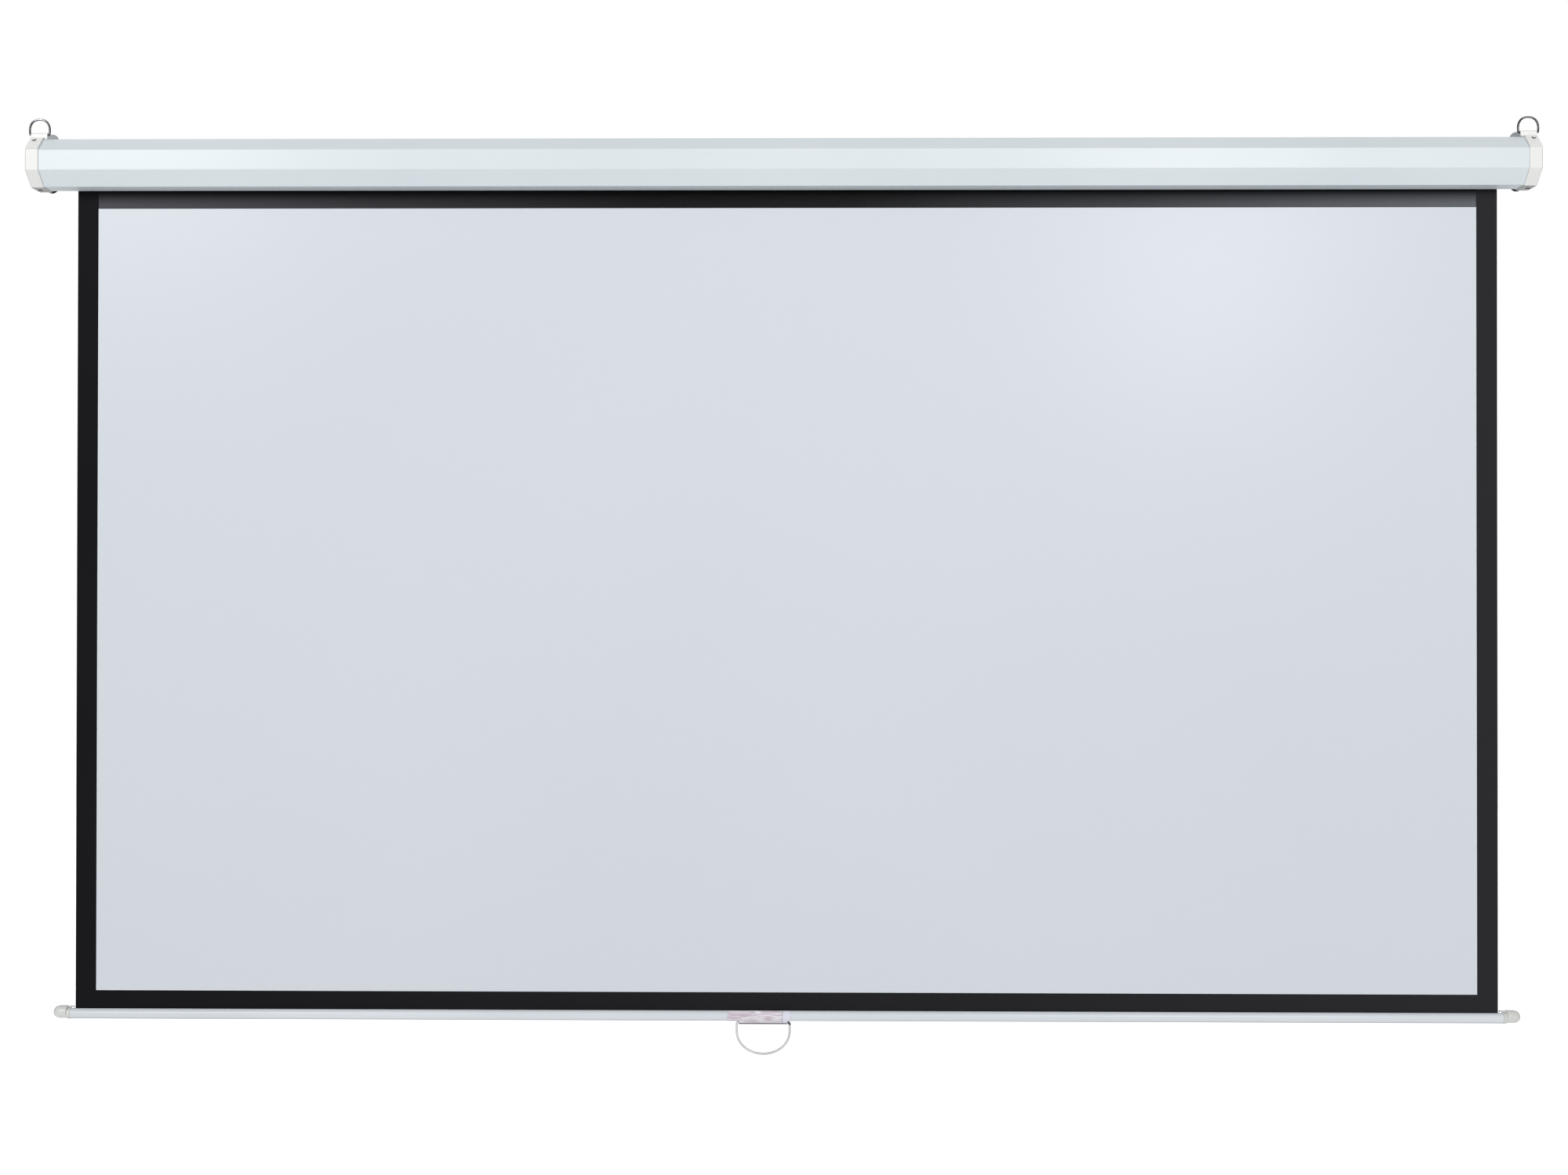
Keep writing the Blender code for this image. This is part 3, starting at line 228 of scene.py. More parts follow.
floor = link("floor", bpy.data.meshes.new("floor"))
floor.data.from_pydata([(x * FLOOR_SIDE, y, FLOOR_HEIGHT) for x, y in (
    (-1, FLOOR_FRONT), (1, FLOOR_FRONT), (1, FLOOR_BACK), (-1, FLOOR_BACK))], [], [(0, 1, 2, 3)])
floor_paint = bpy.data.materials.new("pale_studio_floor")
floor_paint.use_nodes = True
floor_paint.node_tree.nodes.clear()
matt = add(floor_paint, "ShaderNodeBsdfDiffuse", {"Color": linear("F4F4F4")})
extra = add(floor_paint, "ShaderNodeMapRange", {"Value": seen_directly(floor_paint)[1],
                                                "To Min": FLOOR_BOUNCE, "To Max": FLOOR_GLOW})
glow = add(floor_paint, "ShaderNodeEmission", {"Color": linear("FFFFFF"), "Strength": extra})
lifted = add(floor_paint, "ShaderNodeAddShader", {0: matt, 1: glow})
add(floor_paint, "ShaderNodeOutputMaterial", {"Surface": lifted})
floor.data.materials.append(floor_paint)
floor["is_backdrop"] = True

# Place, target, side in metres and power in watts.
LAMPS = {
    "left_softbox": ((-2.30, -3.4, 1.00), (-0.8, 0.0, -0.2), 0.9, 46.0),
    "right_softbox": ((1.38, -3.4, 0.50), (0.7, 0.0, -0.4), 0.8, 36.0),
}
for name, (place, target, size, power) in LAMPS.items():
    lamp = link(name, bpy.data.lights.new(name, "AREA"))
    lamp.data.shape = "SQUARE"
    lamp.data.size = size
    lamp.data.energy = power
    lamp.location = place
    lamp.rotation_euler = (Vector(target) - Vector(place)).to_track_quat("-Z", "Y").to_euler()
    print(name, power, "W")


# %% [markdown]
# ## Finishes
#
# Each finish starts from what the real surface is and how it was made. A powder coating levels
# into a very fine orange peel, plating is cloudy, rolled sheet keeps lines along its length, and
# coated cloth shows its weave under the coat. One function makes the shader, and a few others
# add what several finishes share.

# %% Shader, ripple and clouds
def dress(finish, **sockets):
    """Set or feed sockets of the shader, named with _ for a space, and return the shader."""
    shader = finish.node_tree.nodes["Principled BSDF"]
    return feed(shader, {name.replace("_", " "): value for name, value in sockets.items()})


def new_finish(name, colour, roughness, metallic=0.0, **sockets):
    """Material with its shader set."""
    finish = bpy.data.materials.new(name)
    finish.use_nodes = True
    finish.diffuse_color = linear(colour)
    dress(finish, Base_Color=linear(colour), Roughness=roughness, Metallic=metallic, **sockets)
    return finish


def place_on(finish, stretch=(1, 1, 1)):
    """Object coordinates, stretched per axis."""
    place = add(finish, "ShaderNodeTexCoord")
    return add(finish, "ShaderNodeMapping", {"Vector": place.outputs["Object"], "Scale": stretch})


def ripple(finish, size, depth, stretch=(1, 1, 1)):
    """Fine lumps that stand out of the surface, their size and depth in metres."""
    lumps = add(finish, "ShaderNodeTexNoise", {"Vector": place_on(finish, stretch), "Scale": 1 / size})
    dress(finish, Normal=add(finish, "ShaderNodeBump", {"Height": lumps, "Distance": depth}))
    return lumps


def cover(finish, factor, colour):
    """Lay a second colour over the finish, by a factor from 0 to 1."""
    base = dress(finish).inputs["Base Color"]
    under = base.links[0].from_socket if base.links else list(base.default_value)
    both = add(finish, "ShaderNodeMix", {0: factor, 6: under, 7: linear(colour)}, data_type="RGBA")
    dress(finish, Base_Color=both)


def fade(finish, axis, start, full, place=None, both_ends=False):
    """0 at one place along an axis and 1 at another, on both sides of zero if asked."""
    parts = add(finish, "ShaderNodeSeparateXYZ", {0: place or place_on(finish)})
    spot = parts.outputs[axis]
    if both_ends:
        spot = add(finish, "ShaderNodeMath", {0: spot}, operation="ABSOLUTE")
    return add(finish, "ShaderNodeMapRange", {"Value": spot, "From Min": start, "From Max": full})


def clouds(finish, first, second, size, contrast=0.15, stretch=(1, 1, 1), place=None):
    """Colour that drifts between two close tones over lumps of about size metres."""
    dress(finish, Base_Color=linear(first))
    place = place or place_on(finish, stretch)
    lumps = add(finish, "ShaderNodeTexNoise", {"Vector": place, "Scale": 1 / size})
    factor = add(finish, "ShaderNodeMapRange", {"Value": lumps, "From Min": 0.5 - contrast,
                                                "From Max": 0.5 + contrast})
    cover(finish, factor, second)


# %% [markdown]
# ### Powder coated steel
#
# The case, the caps, the hangers and the bar are steel with a baked powder coating. Its orange
# peel has waves of 2 to 3 mm that are a few hundredths of a millimetre deep and soften every
# reflection. The case is a cool white, the caps are a warmer white, and the wall plates are a
# plain grey. The hangers have the caps' white in a brighter copy, which paints light on their
# slanted leg. A fine grey line of painted shade runs round the caps' outer rims. Painted shade
# darkens the undersides of the caps and of the bar, and the feet of the wall plates, which sit in
# the case's shadow. The pan head screws are painted white, with a ring of painted shade round
# their edge.

# %% Powder coatings
PEEL_SIZE, PEEL_DEPTH = 0.0026, 0.00003
SMOOTHER, ROUGHER = 0.04, 0.06                 # how far the peel takes the roughness down and up
TONE_DRIFT = 0.35


def powder_coat(name, first, second, roughness, **sockets):
    """Baked powder coating with orange peel and a faint drift of tone."""
    finish = new_finish(name, first, roughness, **sockets)
    dress(finish, Roughness=add(finish, "ShaderNodeMapRange", {
        "Value": ripple(finish, PEEL_SIZE, PEEL_DEPTH), "To Min": roughness - SMOOTHER,
        "To Max": roughness + ROUGHER}))
    clouds(finish, first, second, TONE_DRIFT)
    return finish


case_coat = powder_coat("white_powder_coat", "DAE2E5", "DFE6E9", 0.30, Specular_IOR_Level=0.25)
cap_coat = powder_coat("warm_white_powder_coat", "E8E8E4", "ECECE8", 0.42)
plate_coat = powder_coat("grey_powder_coat", "909396", "9A9DA0", 0.46)
# Painted light: the hangers get a brighter copy of the caps' white, so that their slanted leg shows lit.
lit_hanger_coat = powder_coat("bright_white_powder_coat", "F0F0ED", "F4F4F1", 0.40)
bar_coat = powder_coat("bar_powder_coat", "D6DBDF", "DCE1E5", 0.34)
# Painted shade: a fine grey line round the caps' outer rims.
rim_shade_coat = powder_coat("thin_coat_on_rims", "8A8D8D", "939695", 0.42)

# Painted shade on the undersides: heights above the lowest point where it starts, and where it is full.
UNDERSIDE_SHADE = [(cap_coat, cap_low, 0.0008, 0.0002, "B0B1AE"), (bar_coat, bar_low, 0.0026, 0.0006, "A9AEB3"),
              (plate_coat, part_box("wall_plate_left")[0], 0.0110, 0.0105, "1C1D20")]
for coat, lowest, start, full, colour in UNDERSIDE_SHADE:
    cover(coat, fade(coat, "Z", lowest.z + start, lowest.z + full), colour)

screw_paint = new_finish("white_paint_on_screws", "F2F2EF", 0.38)
ripple(screw_paint, 0.0008, 0.00001)
# Painted shade: a dark ring round the head's edge, from the edge attribute.
edge_shade = add(screw_paint, "ShaderNodeAttribute", attribute_name="edge")
cover(screw_paint, edge_shade.outputs["Fac"], "48484C")
print("powder coatings with a darker underside:", len(UNDERSIDE_SHADE))

# %% [markdown]
# ### Metals
#
# The rings are nickel plated. Their colour is drawn dark, a painted reflection of the dark room,
# with a painted highlight along the top. Flat screws, carriers and pins are zinc plated, which
# looks cloudy and slightly rough. The roller tube is galvanised strip with its frosted spangle.
# The spring and its ratchet are oil tempered steel, dark and satin.

# %% Metals
TOP_HIGHLIGHT = 0.0050
SPANGLE = 0.008
SPANGLE_MIDDLE, SPANGLE_RIM = 0.30, 0.55       # roughness at a crystal's middle and at its rim


def plated(name, colour, roughness, size, spread):
    """Plated metal: roughness drifts in lumps of about size metres."""
    finish = new_finish(name, colour, roughness, 1.0)
    lumps = add(finish, "ShaderNodeTexNoise", {"Vector": place_on(finish), "Scale": 1 / size,
                                               "Detail": 3.0})
    dress(finish, Roughness=add(finish, "ShaderNodeMapRange", {
        "Value": lumps, "To Min": roughness - spread, "To Max": roughness + spread}))
    return finish


# Painted reflection: the nickel is drawn dark. Painted highlight: it is lighter along the top.
ring_plate = plated("dark_nickel_plate", "505055", 0.22, 0.002, 0.05)
ring_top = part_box("ring_left")[1].z
cover(ring_plate, fade(ring_plate, "Z", ring_top - TOP_HIGHLIGHT, ring_top - TOP_HIGHLIGHT / 3), "9C9CA2")
zinc_plate = plated("zinc_plated_steel", "C3C6C9", 0.34, 0.0015, 0.10)
ripple(zinc_plate, 0.0007, 0.00001)
spring_wire = plated("oil_tempered_steel", "6C6E72", 0.32, 0.001, 0.08)
tube_zinc = new_finish("galvanised_strip", "A3A7AB", 0.42, 1.0)
spangle = add(tube_zinc, "ShaderNodeTexVoronoi", {"Vector": place_on(tube_zinc), "Scale": 1 / SPANGLE})
dress(tube_zinc, Roughness=add(tube_zinc, "ShaderNodeMapRange", {
    "Value": spangle, "To Min": SPANGLE_MIDDLE, "To Max": SPANGLE_RIM}))
print("spangle of the roller tube", SPANGLE * 1000, "mm")

# %% [markdown]
# ### Plastics and painted wire
#
# The bar's end caps are soft, translucent polyethylene that light enters a little, and painted
# shade darkens them at the tip. Plugs and bushes inside the roller are natural nylon. The handle
# is steel wire dipped in pale enamel, with painted shade at one bend. Its saddle is thin sheet
# with the faint lines that rolling left along it, a paler sleeve at its right end, a painted
# highlight at the top, and painted shade on its belly where the handle turns.

# %% Plastics and wire
TIP_SHADE_FROM, TIP_SHADE_FULL = 0.0026, 0.0006        # from the tip of the bar's cap
BEND_SHADE_SIDE, BEND_SHADE_SIDE_FULL = 0.0090, 0.0075     # from the handle's right side
BEND_SHADE_TOP, BEND_SHADE_TOP_FULL = 0.0065, 0.0050       # from the handle's top

cap_plastic = new_finish("natural_polyethylene", "D8D9D4", 0.30, Subsurface_Weight=0.2,
                         Subsurface_Radius=(0.004, 0.004, 0.003), Subsurface_Scale=1.0)
ripple(cap_plastic, 0.004, 0.00002)
clouds(cap_plastic, "D5D6D1", "DCDDD8", 0.012)
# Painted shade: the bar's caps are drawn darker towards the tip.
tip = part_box("bar_cap_right")[1].x
darkened = fade(cap_plastic, "X", tip - TIP_SHADE_FROM, tip - TIP_SHADE_FULL, both_ends=True)
cover(cap_plastic, darkened, "8A8B84")
nylon = new_finish("moulded_nylon", "E2DFD2", 0.48)
ripple(nylon, 0.002, 0.00002)
clouds(nylon, "DFDCCE", "E6E3D7", 0.01)
wire_enamel = new_finish("dipped_enamel", "D2D2D3", 0.32)
ripple(wire_enamel, 0.006, 0.00004)
clouds(wire_enamel, "CBCBCC", "D9D9DA", 0.02)
# Painted shade at the handle's right bend, where it goes up into the saddle.
at_side = fade(wire_enamel, "X", handle_high.x - BEND_SHADE_SIDE, handle_high.x - BEND_SHADE_SIDE_FULL)
at_top = fade(wire_enamel, "Z", handle_high.z - BEND_SHADE_TOP, handle_high.z - BEND_SHADE_TOP_FULL)
bend_shade = add(wire_enamel, "ShaderNodeMath", {0: at_side, 1: at_top}, operation="MULTIPLY")
cover(wire_enamel, bend_shade, "48464A")
print("plastics and enamel ready, the bar's caps scuffed", TIP_SHADE_FROM * 1000, "mm from the tip")

# %% Rolled sheet of the saddle
SADDLE_SLEEVE = 0.0116
SEAM_HALF = 0.0004
BELLY_SHADE = 0.0030
GLARE_X, GLARE_Z = -0.0322, 0.0062           # Z from the middle of the bar
GLARE_LONG, GLARE_HIGH = 0.007, 0.0018       # half its length and half its height

saddle_coat = new_finish("rolled_sheet_lacquer", "D6CFD6", 0.36)
ripple(saddle_coat, 0.0012, 0.00003, (0.06, 1, 1))
clouds(saddle_coat, "C6B6C1", "E6E2E8", 0.0018, 0.08, (0.08, 1, 1))
# Painted highlight: a pale glare spot on the top of the saddle.
from_spot = add(saddle_coat, "ShaderNodeMapping", {
    "Vector": place_on(saddle_coat), "Scale": (1 / GLARE_LONG, 0, 1 / GLARE_HIGH),
    "Location": (-GLARE_X / GLARE_LONG, 0, -(BAR_Z + GLARE_Z) / GLARE_HIGH)})
distance = add(saddle_coat, "ShaderNodeVectorMath", {0: from_spot}, operation="LENGTH").outputs["Value"]
glare_spot = add(saddle_coat, "ShaderNodeMapRange", {"Value": distance, "From Min": 1.0, "From Max": 0.4})
across = add(saddle_coat, "ShaderNodeSeparateXYZ", {0: place_on(saddle_coat)}).outputs["X"]
seam_x = saddle_high.x - SADDLE_SLEEVE
sleeve = add(saddle_coat, "ShaderNodeMath", {0: across, 1: seam_x}, operation="GREATER_THAN")
seam = add(saddle_coat, "ShaderNodeMath", {0: across, 1: seam_x, 2: SEAM_HALF}, operation="COMPARE")
# Painted shade on the saddle's belly round the handle's pocket.
belly_shade = fade(saddle_coat, "Z", saddle_low.z + BELLY_SHADE, saddle_low.z + BELLY_SHADE / 2)
for factor, colour in ((glare_spot, "FAF8FA"), (sleeve, "E0E1EC"), (seam, "A9A5AE"), (belly_shade, "423F46")):
    cover(saddle_coat, factor, colour)
print("the saddle's sleeve starts at x", round(seam_x, 4))

# %% [markdown]
# ### Coated cloth
#
# The screen is woven glass fibre with a vinyl coat: matt white in the picture area and black
# around it. The real weave has a thread every 0.5 mm, which is too fine to show, so it is drawn
# at 1 mm. The pattern follows the cloth's own UV map, which holds metres, so it moves with the
# cloth.

# %% Coated cloth
THREAD = 0.001
FLAT_MAP = "flat_metres"


def weave(finish, depth):
    """Plain weave as bump: two crossed sets of threads from the UV map."""
    place = add(finish, "ShaderNodeUVMap", uv_map=FLAT_MAP)
    parts = add(finish, "ShaderNodeSeparateXYZ", {0: place})
    threads = []
    for axis in "XY":
        turned = add(finish, "ShaderNodeMath", {0: parts.outputs[axis], 1: 2 * math.pi / THREAD},
                     operation="MULTIPLY")
        threads.append(add(finish, "ShaderNodeMath", {0: turned}, operation="SINE"))
    cross = add(finish, "ShaderNodeMath", {0: threads[0], 1: threads[1]}, operation="MULTIPLY")
    dress(finish, Normal=add(finish, "ShaderNodeBump", {"Height": cross, "Distance": depth}))


def coated_cloth(name, first, second, roughness, size, depth, **sockets):
    """Woven cloth with a vinyl coat whose tone drifts over size metres."""
    finish = new_finish(name, first, roughness, **sockets)
    weave(finish, depth)
    clouds(finish, first, second, size, place=add(finish, "ShaderNodeUVMap", uv_map=FLAT_MAP))
    return finish


white_vinyl = coated_cloth("matt_white_vinyl_cloth", "D4DADF", "D7DCE1", 0.26, 0.9, 0.000006,
                           Specular_IOR_Level=0.12)
black_vinyl = coated_cloth("black_vinyl_cloth", "0E0E11", "121215", 0.62, 0.4, 0.00003,
                           Specular_IOR_Level=0.08)
black_place = add(black_vinyl, "ShaderNodeUVMap", uv_map=FLAT_MAP)
# Painted sheen: the black cloth is drawn lighter towards its right end.
cover(black_vinyl, fade(black_vinyl, "X", cloth_low.x, cloth_high.x, black_place), "28282B")
print("cloth ready, thread spacing drawn at", THREAD * 1000, "mm")

# %% [markdown]
# The black drop above the picture has a smoother coat than the side borders, and it catches more
# of the room. A painted sheen runs from grey at the left over nearly black in the middle to a
# lighter grey at the right, and a painted shadow makes it deepest right under the case. Two ramps
# over the cloth's UV map, one along the drop and one up it, are laid over each other.

# %% Black drop above the picture
DROP_SHEEN_TONES = [(0.0, "4B4A4F"), (0.2, "303034"), (0.4, "131315"), (0.55, "161618"), (0.75, "3C3D41"),
              (1.0, "63656B")]
# Heights where the painted shadow under the case starts and where it is full.
SHADE_FROM, SHADE_FULL = -0.056, -0.034        # heights of the deep tone under the case

drop_vinyl = new_finish("satin_black_drop", "303034", 0.45, Specular_IOR_Level=0.08)
weave(drop_vinyl, 0.00002)
drop_place = add(drop_vinyl, "ShaderNodeUVMap", uv_map=FLAT_MAP)
along_drop = fade(drop_vinyl, "X", face_low.x, face_high.x, drop_place)
# Painted sheen along the drop, from grey over nearly black to a lighter grey.
tones = add(drop_vinyl, "ShaderNodeValToRGB", {0: along_drop})
stops = tones.color_ramp.elements
stops[0].color, stops[1].color = linear(DROP_SHEEN_TONES[0][1]), linear(DROP_SHEEN_TONES[-1][1])
for position, code in DROP_SHEEN_TONES[1:-1]:
    stops.new(position).color = linear(code)
dress(drop_vinyl, Base_Color=tones)
# Painted shadow: the drop is deepest right under the case.
cover(drop_vinyl, fade(drop_vinyl, "Y", SHADE_FROM, SHADE_FULL, drop_place), "020203")
print("drop from", round(face_high.z, 4), "m up into the case")


# %% [markdown]
# ## From a plain mesh to a piece
#
# Every new piece rides on one body of the frame and stands for the CAD nodes that it replaces.
# Its edges are smooth up to an angle. On folded sheet a weighted normal keeps the flats flat and
# lets only the bends shade round.

# %% Making pieces
def mesh_from(name, vertices, faces=(), edges=()):
    mesh = bpy.data.meshes.new(name)
    mesh.from_pydata([tuple(v) for v in vertices], list(edges), list(faces))
    return mesh


@contextmanager
def open_mesh(mesh):
    """The mesh as a bmesh, written back at the end of the with block."""
    bm = bmesh.new()
    bm.from_mesh(mesh)
    yield bm
    bm.to_mesh(mesh)
    bm.free()


def outward(mesh, merge=0.0):
    """Merge doubles and turn all faces outward."""
    with open_mesh(mesh) as bm:
        if merge:
            bmesh.ops.remove_doubles(bm, verts=bm.verts, dist=merge)
        bmesh.ops.recalc_face_normals(bm, faces=bm.faces)


def smooth(mesh, angle):
    """Shade smooth, with sharp edges where the surface turns by more than an angle in degrees."""
    mesh.shade_smooth()
    mesh.set_sharp_from_angle(angle=math.radians(angle))


def modify(piece, name, kind, **settings):
    """Add a modifier with its settings."""
    modifier = piece.modifiers.new(name, kind)
    for key, value in settings.items():
        setattr(modifier, key, value)
    return modifier


def crisp(piece, angle, bevel=0.0):
    """Smooth up to an angle, with sharp edges eased by a small width and flats shaded flat."""
    smooth(piece.data, angle)
    if bevel:
        modify(piece, "eased_edges", "BEVEL", width=bevel, segments=2, limit_method="ANGLE",
               angle_limit=math.radians(50))
    modify(piece, "flat_sides", "WEIGHTED_NORMAL", keep_sharp=True)


def thicken(piece, thickness, angle, bevel=0.0):
    """Sheet metal thickness, half to each side, with crisp edges."""
    modify(piece, "thickness", "SOLIDIFY", thickness=thickness, offset=0.0, use_even_offset=True)
    crisp(piece, angle, bevel)


def baked(piece, name, *helpers):
    """Mesh of a piece with its modifiers applied. The piece and its helpers are removed."""
    graph = bpy.context.evaluated_depsgraph_get()
    mesh = bpy.data.meshes.new_from_object(piece.evaluated_get(graph))
    for done in (piece, *helpers):
        bpy.data.objects.remove(done)
    mesh.name = name
    return mesh


def settle(piece, body, replaced, slot, *finishes):
    """Give a finished piece its body, the nodes it stands for and its finishes; slot is not used."""
    if finishes:
        kinds = [face.material_index for face in piece.data.polygons]
        piece.data.materials.clear()
        for finish in finishes:
            piece.data.materials.append(finish)
        piece.data.polygons.foreach_set("material_index", kinds)
    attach(piece, body)
    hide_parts(*replaced)
    print(piece.name, len(piece.data.polygons), "faces on", body)


# %% [markdown]
# ## Sheet that follows a path
#
# The case is one strip of steel that rollers bend to an octagon, and the bar is another that they
# bend to a tube. Both are a path in side view that is as wide as the piece is long. Geometry
# Nodes say exactly that: round the path's corners, push its edges sideways, and set the finish.

# %% Node tree for rolled sheet
def node_group(name, sockets):
    """Empty geometry tree with a geometry in and out, and the named inputs."""
    tree = bpy.data.node_groups.new(name, "GeometryNodeTree")
    tree.interface.new_socket("Geometry", in_out="INPUT", socket_type="NodeSocketGeometry")
    for socket, kind in sockets.items():
        tree.interface.new_socket(socket, in_out="INPUT", socket_type=kind)
    tree.interface.new_socket("Geometry", in_out="OUTPUT", socket_type="NodeSocketGeometry")
    return tree, add(tree, "NodeGroupInput").outputs


def end_group(tree, geometry, finish):
    """Realize Instances, Set Material and the output."""
    real = add(tree, "GeometryNodeRealizeInstances", {"Geometry": geometry})
    coated = add(tree, "GeometryNodeSetMaterial", {"Geometry": real, "Material": finish})
    add(tree, "NodeGroupOutput", {0: coated})


rolled, entry = node_group("rolled_sheet", {"Width": "NodeSocketFloat", "Bend radius": "NodeSocketFloat",
                                            "Bend steps": "NodeSocketInt", "Finish": "NodeSocketMaterial"})
side_view = add(rolled, "GeometryNodeMeshToCurve", {"Mesh": entry["Geometry"]})
bent = add(rolled, "GeometryNodeFilletCurve", {"Curve": side_view, "Radius": entry["Bend radius"],
                                               "Count": entry["Bend steps"]}, mode="POLY")
edge_line = add(rolled, "GeometryNodeCurveToMesh", {"Curve": bent})
sideways = add(rolled, "ShaderNodeCombineXYZ", {0: entry["Width"]})
pushed = add(rolled, "GeometryNodeExtrudeMesh", {"Mesh": edge_line, "Offset": sideways,
                                                 "Offset Scale": 1.0}, mode="EDGES")
end_group(rolled, pushed, entry["Finish"])


def grow(name, base, tree, values):
    """Plain piece from a base mesh and a node tree with its inputs set."""
    holder = link(f"{name}_path", base)
    shape = modify(holder, "shape", "NODES", node_group=tree)
    for item in tree.interface.items_tree:
        if item.in_out == "INPUT" and item.name in values:
            shape[item.identifier] = values[item.name]
    return link(name, baked(holder, name))


def line_mesh(name, points, closed=False):
    """Edges through points, and back to the first one if the line is closed."""
    count = len(points)
    edges = [(k, (k + 1) % count) for k in range(count if closed else count - 1)]
    return mesh_from(name, points, edges=edges)


def roll(name, low, high, route, finish, bend_radius=0.0, bend_steps=1):
    """Sheet along a route of (y, z) points, as wide as the box from low to high is long."""
    return grow(name, line_mesh(f"{name}_route", [(low.x, y, z) for y, z in route]), rolled,
                {"Width": high.x - low.x, "Bend radius": bend_radius, "Bend steps": bend_steps,
                 "Finish": finish})


# %% [markdown]
# ## The case
#
# In side view the case is a regular octagon of 70 mm across its flats. The strip starts inside
# the slot behind the cloth, goes round over the rear, the top and the front, and ends inside the
# slot in front of the cloth. Both ends are turned in, so that no raw edge touches the cloth.

# %% Case shell
SHEET = 0.0008
SLOT_HALF = 0.0040
LIP = 0.0055
CASE_BEND, CASE_BEND_STEPS = 0.0012, 6
EIGHTH = 45.0               # degrees from one corner of an octagon to the next


def arc(centre, radius, start, end, steps):
    """Points on an arc, its angles in degrees."""
    angles = [math.radians(start + (end - start) * k / steps) for k in range(steps + 1)]
    return [(centre[0] + radius * math.cos(a), centre[1] + radius * math.sin(a)) for a in angles]


def octagon(flats):
    """Corners of a regular octagon round the roller's axis, from the upper rear one on."""
    reach = flats / 2 / math.cos(math.radians(EIGHTH / 2))
    return arc((AXIS_Y, 0.0), reach, EIGHTH / 2, EIGHTH / 2 + 7 * EIGHTH, 7)


middle = CASE_FLATS - SHEET
case_corners = octagon(middle)
slot_front, slot_rear = CLOTH_Y - SLOT_HALF, CLOTH_Y + SLOT_HALF
rear_z = case_corners[6][1] + slot_rear - case_corners[6][0]
case_route = [(slot_rear, rear_z + LIP), (slot_rear, rear_z), case_corners[7], *case_corners[:6],
              (slot_front, -middle / 2), (slot_front, LIP - middle / 2)]
case = roll("case_strip", shell_low, shell_high, case_route, case_coat, CASE_BEND, CASE_BEND_STEPS)
thicken(case, SHEET, angle=40)
settle(case, "case", ["case_shell"], "case_enamel")

# %% [markdown]
# ## End caps
#
# Each end of the case wears an octagonal cup with a softly rounded outer rim. It is a stack of
# octagons: from its end wall along the skirt's inside, round the skirt's edge, back along the
# outside, and over the rim to the outer face. All outlines have the same number of points, so
# quads join them.

# %% End caps
CAP_DEPTH = 0.0185
CAP_WALL = 0.0025
CAP_SKIRT = 0.0014
CAP_EASE = 0.0003
CAP_CORNER = 0.0022
CORNER_LOSS = 0.6           # of what an outline is set in, taken off its corners' radius
CAP_RIM, RIM_STEPS = 0.0012, 4
RIM_LINE, RIM_TILT = 0.0007, 0.95


def rounded_octagon(flats, radius, steps=6):
    """Octagon round the roller's axis, with rounded corners."""
    return [point for k, centre in enumerate(octagon(flats - 2 * radius))
            for point in arc(centre, radius, EIGHTH * k, EIGHTH * (k + 1), steps)]


def stacked(name, loops):
    """Closed mesh from (x, outline) loops with as many points each; the first and last are filled."""
    count, last = len(loops[0][1]), len(loops) - 1
    vertices = [(x, y, z) for x, outline in loops for y, z in outline]
    faces = [(row + k, row + (k + 1) % count, row + count + (k + 1) % count, row + count + k)
             for row in range(0, last * count, count) for k in range(count)]
    faces += [tuple(range(count)), tuple(range(last * count, (last + 1) * count))]
    mesh = mesh_from(name, vertices, faces)
    outward(mesh)
    return mesh


def cap_stack(side):
    """Outlines of a cap from the inside of its wall, round the skirt, to its outer face."""
    inner = CAP_FLATS - 2 * CAP_SKIRT
    stations = [(CAP_WALL, inner), (CAP_DEPTH - CAP_EASE, inner), (CAP_DEPTH, inner + 2 * CAP_EASE),
                (CAP_DEPTH, CAP_FLATS - 2 * CAP_EASE), (CAP_DEPTH - CAP_EASE, CAP_FLATS)]
    for shrink, inset in arc((CAP_RIM, CAP_RIM), CAP_RIM, 180, 270, RIM_STEPS):
        stations.append((inset, CAP_FLATS - 2 * shrink))
    loops = []
    for inset, flats in stations:
        radius = CAP_CORNER - (CAP_FLATS - flats) / 2 * CORNER_LOSS
        loops.append((side * (CASE_END - inset), rounded_octagon(flats, radius)))
    return loops


for name, side in SIDES.items():
    cap = link(f"cap_{name}", stacked(f"cap_{name}", cap_stack(side)))
    for face in cap.data.polygons:
        # Faces on the outer rim get the painted rim shade.
        on_rim = abs(face.center.x) > CASE_END - RIM_LINE and abs(face.normal.x) < RIM_TILT
        face.material_index = int(on_rim)
    crisp(cap, angle=35)
    settle(cap, "case", [f"end_cap_{name}"], "cap_enamel", cap_coat, rim_shade_coat)

# %% [markdown]
# ## Hangers
#
# A hanger is a blank of 1 mm sheet, cut with a narrower leg and then bent: the leg lies on the
# cap's upper slant, and the top curls round the ring's bar. A cut blank is a row of cells along
# the bend's path, some of them missing, so the mesh keeps only the cells that are metal.

# %% Cut and bent sheet
def cells(rows, across):
    """Row, column and corner numbers of each cell of a grid of points."""
    for row in range(rows - 1):
        for column in range(across - 1):
            first = row * across + column
            yield row, column, (first, first + 1, first + across + 1, first + across)


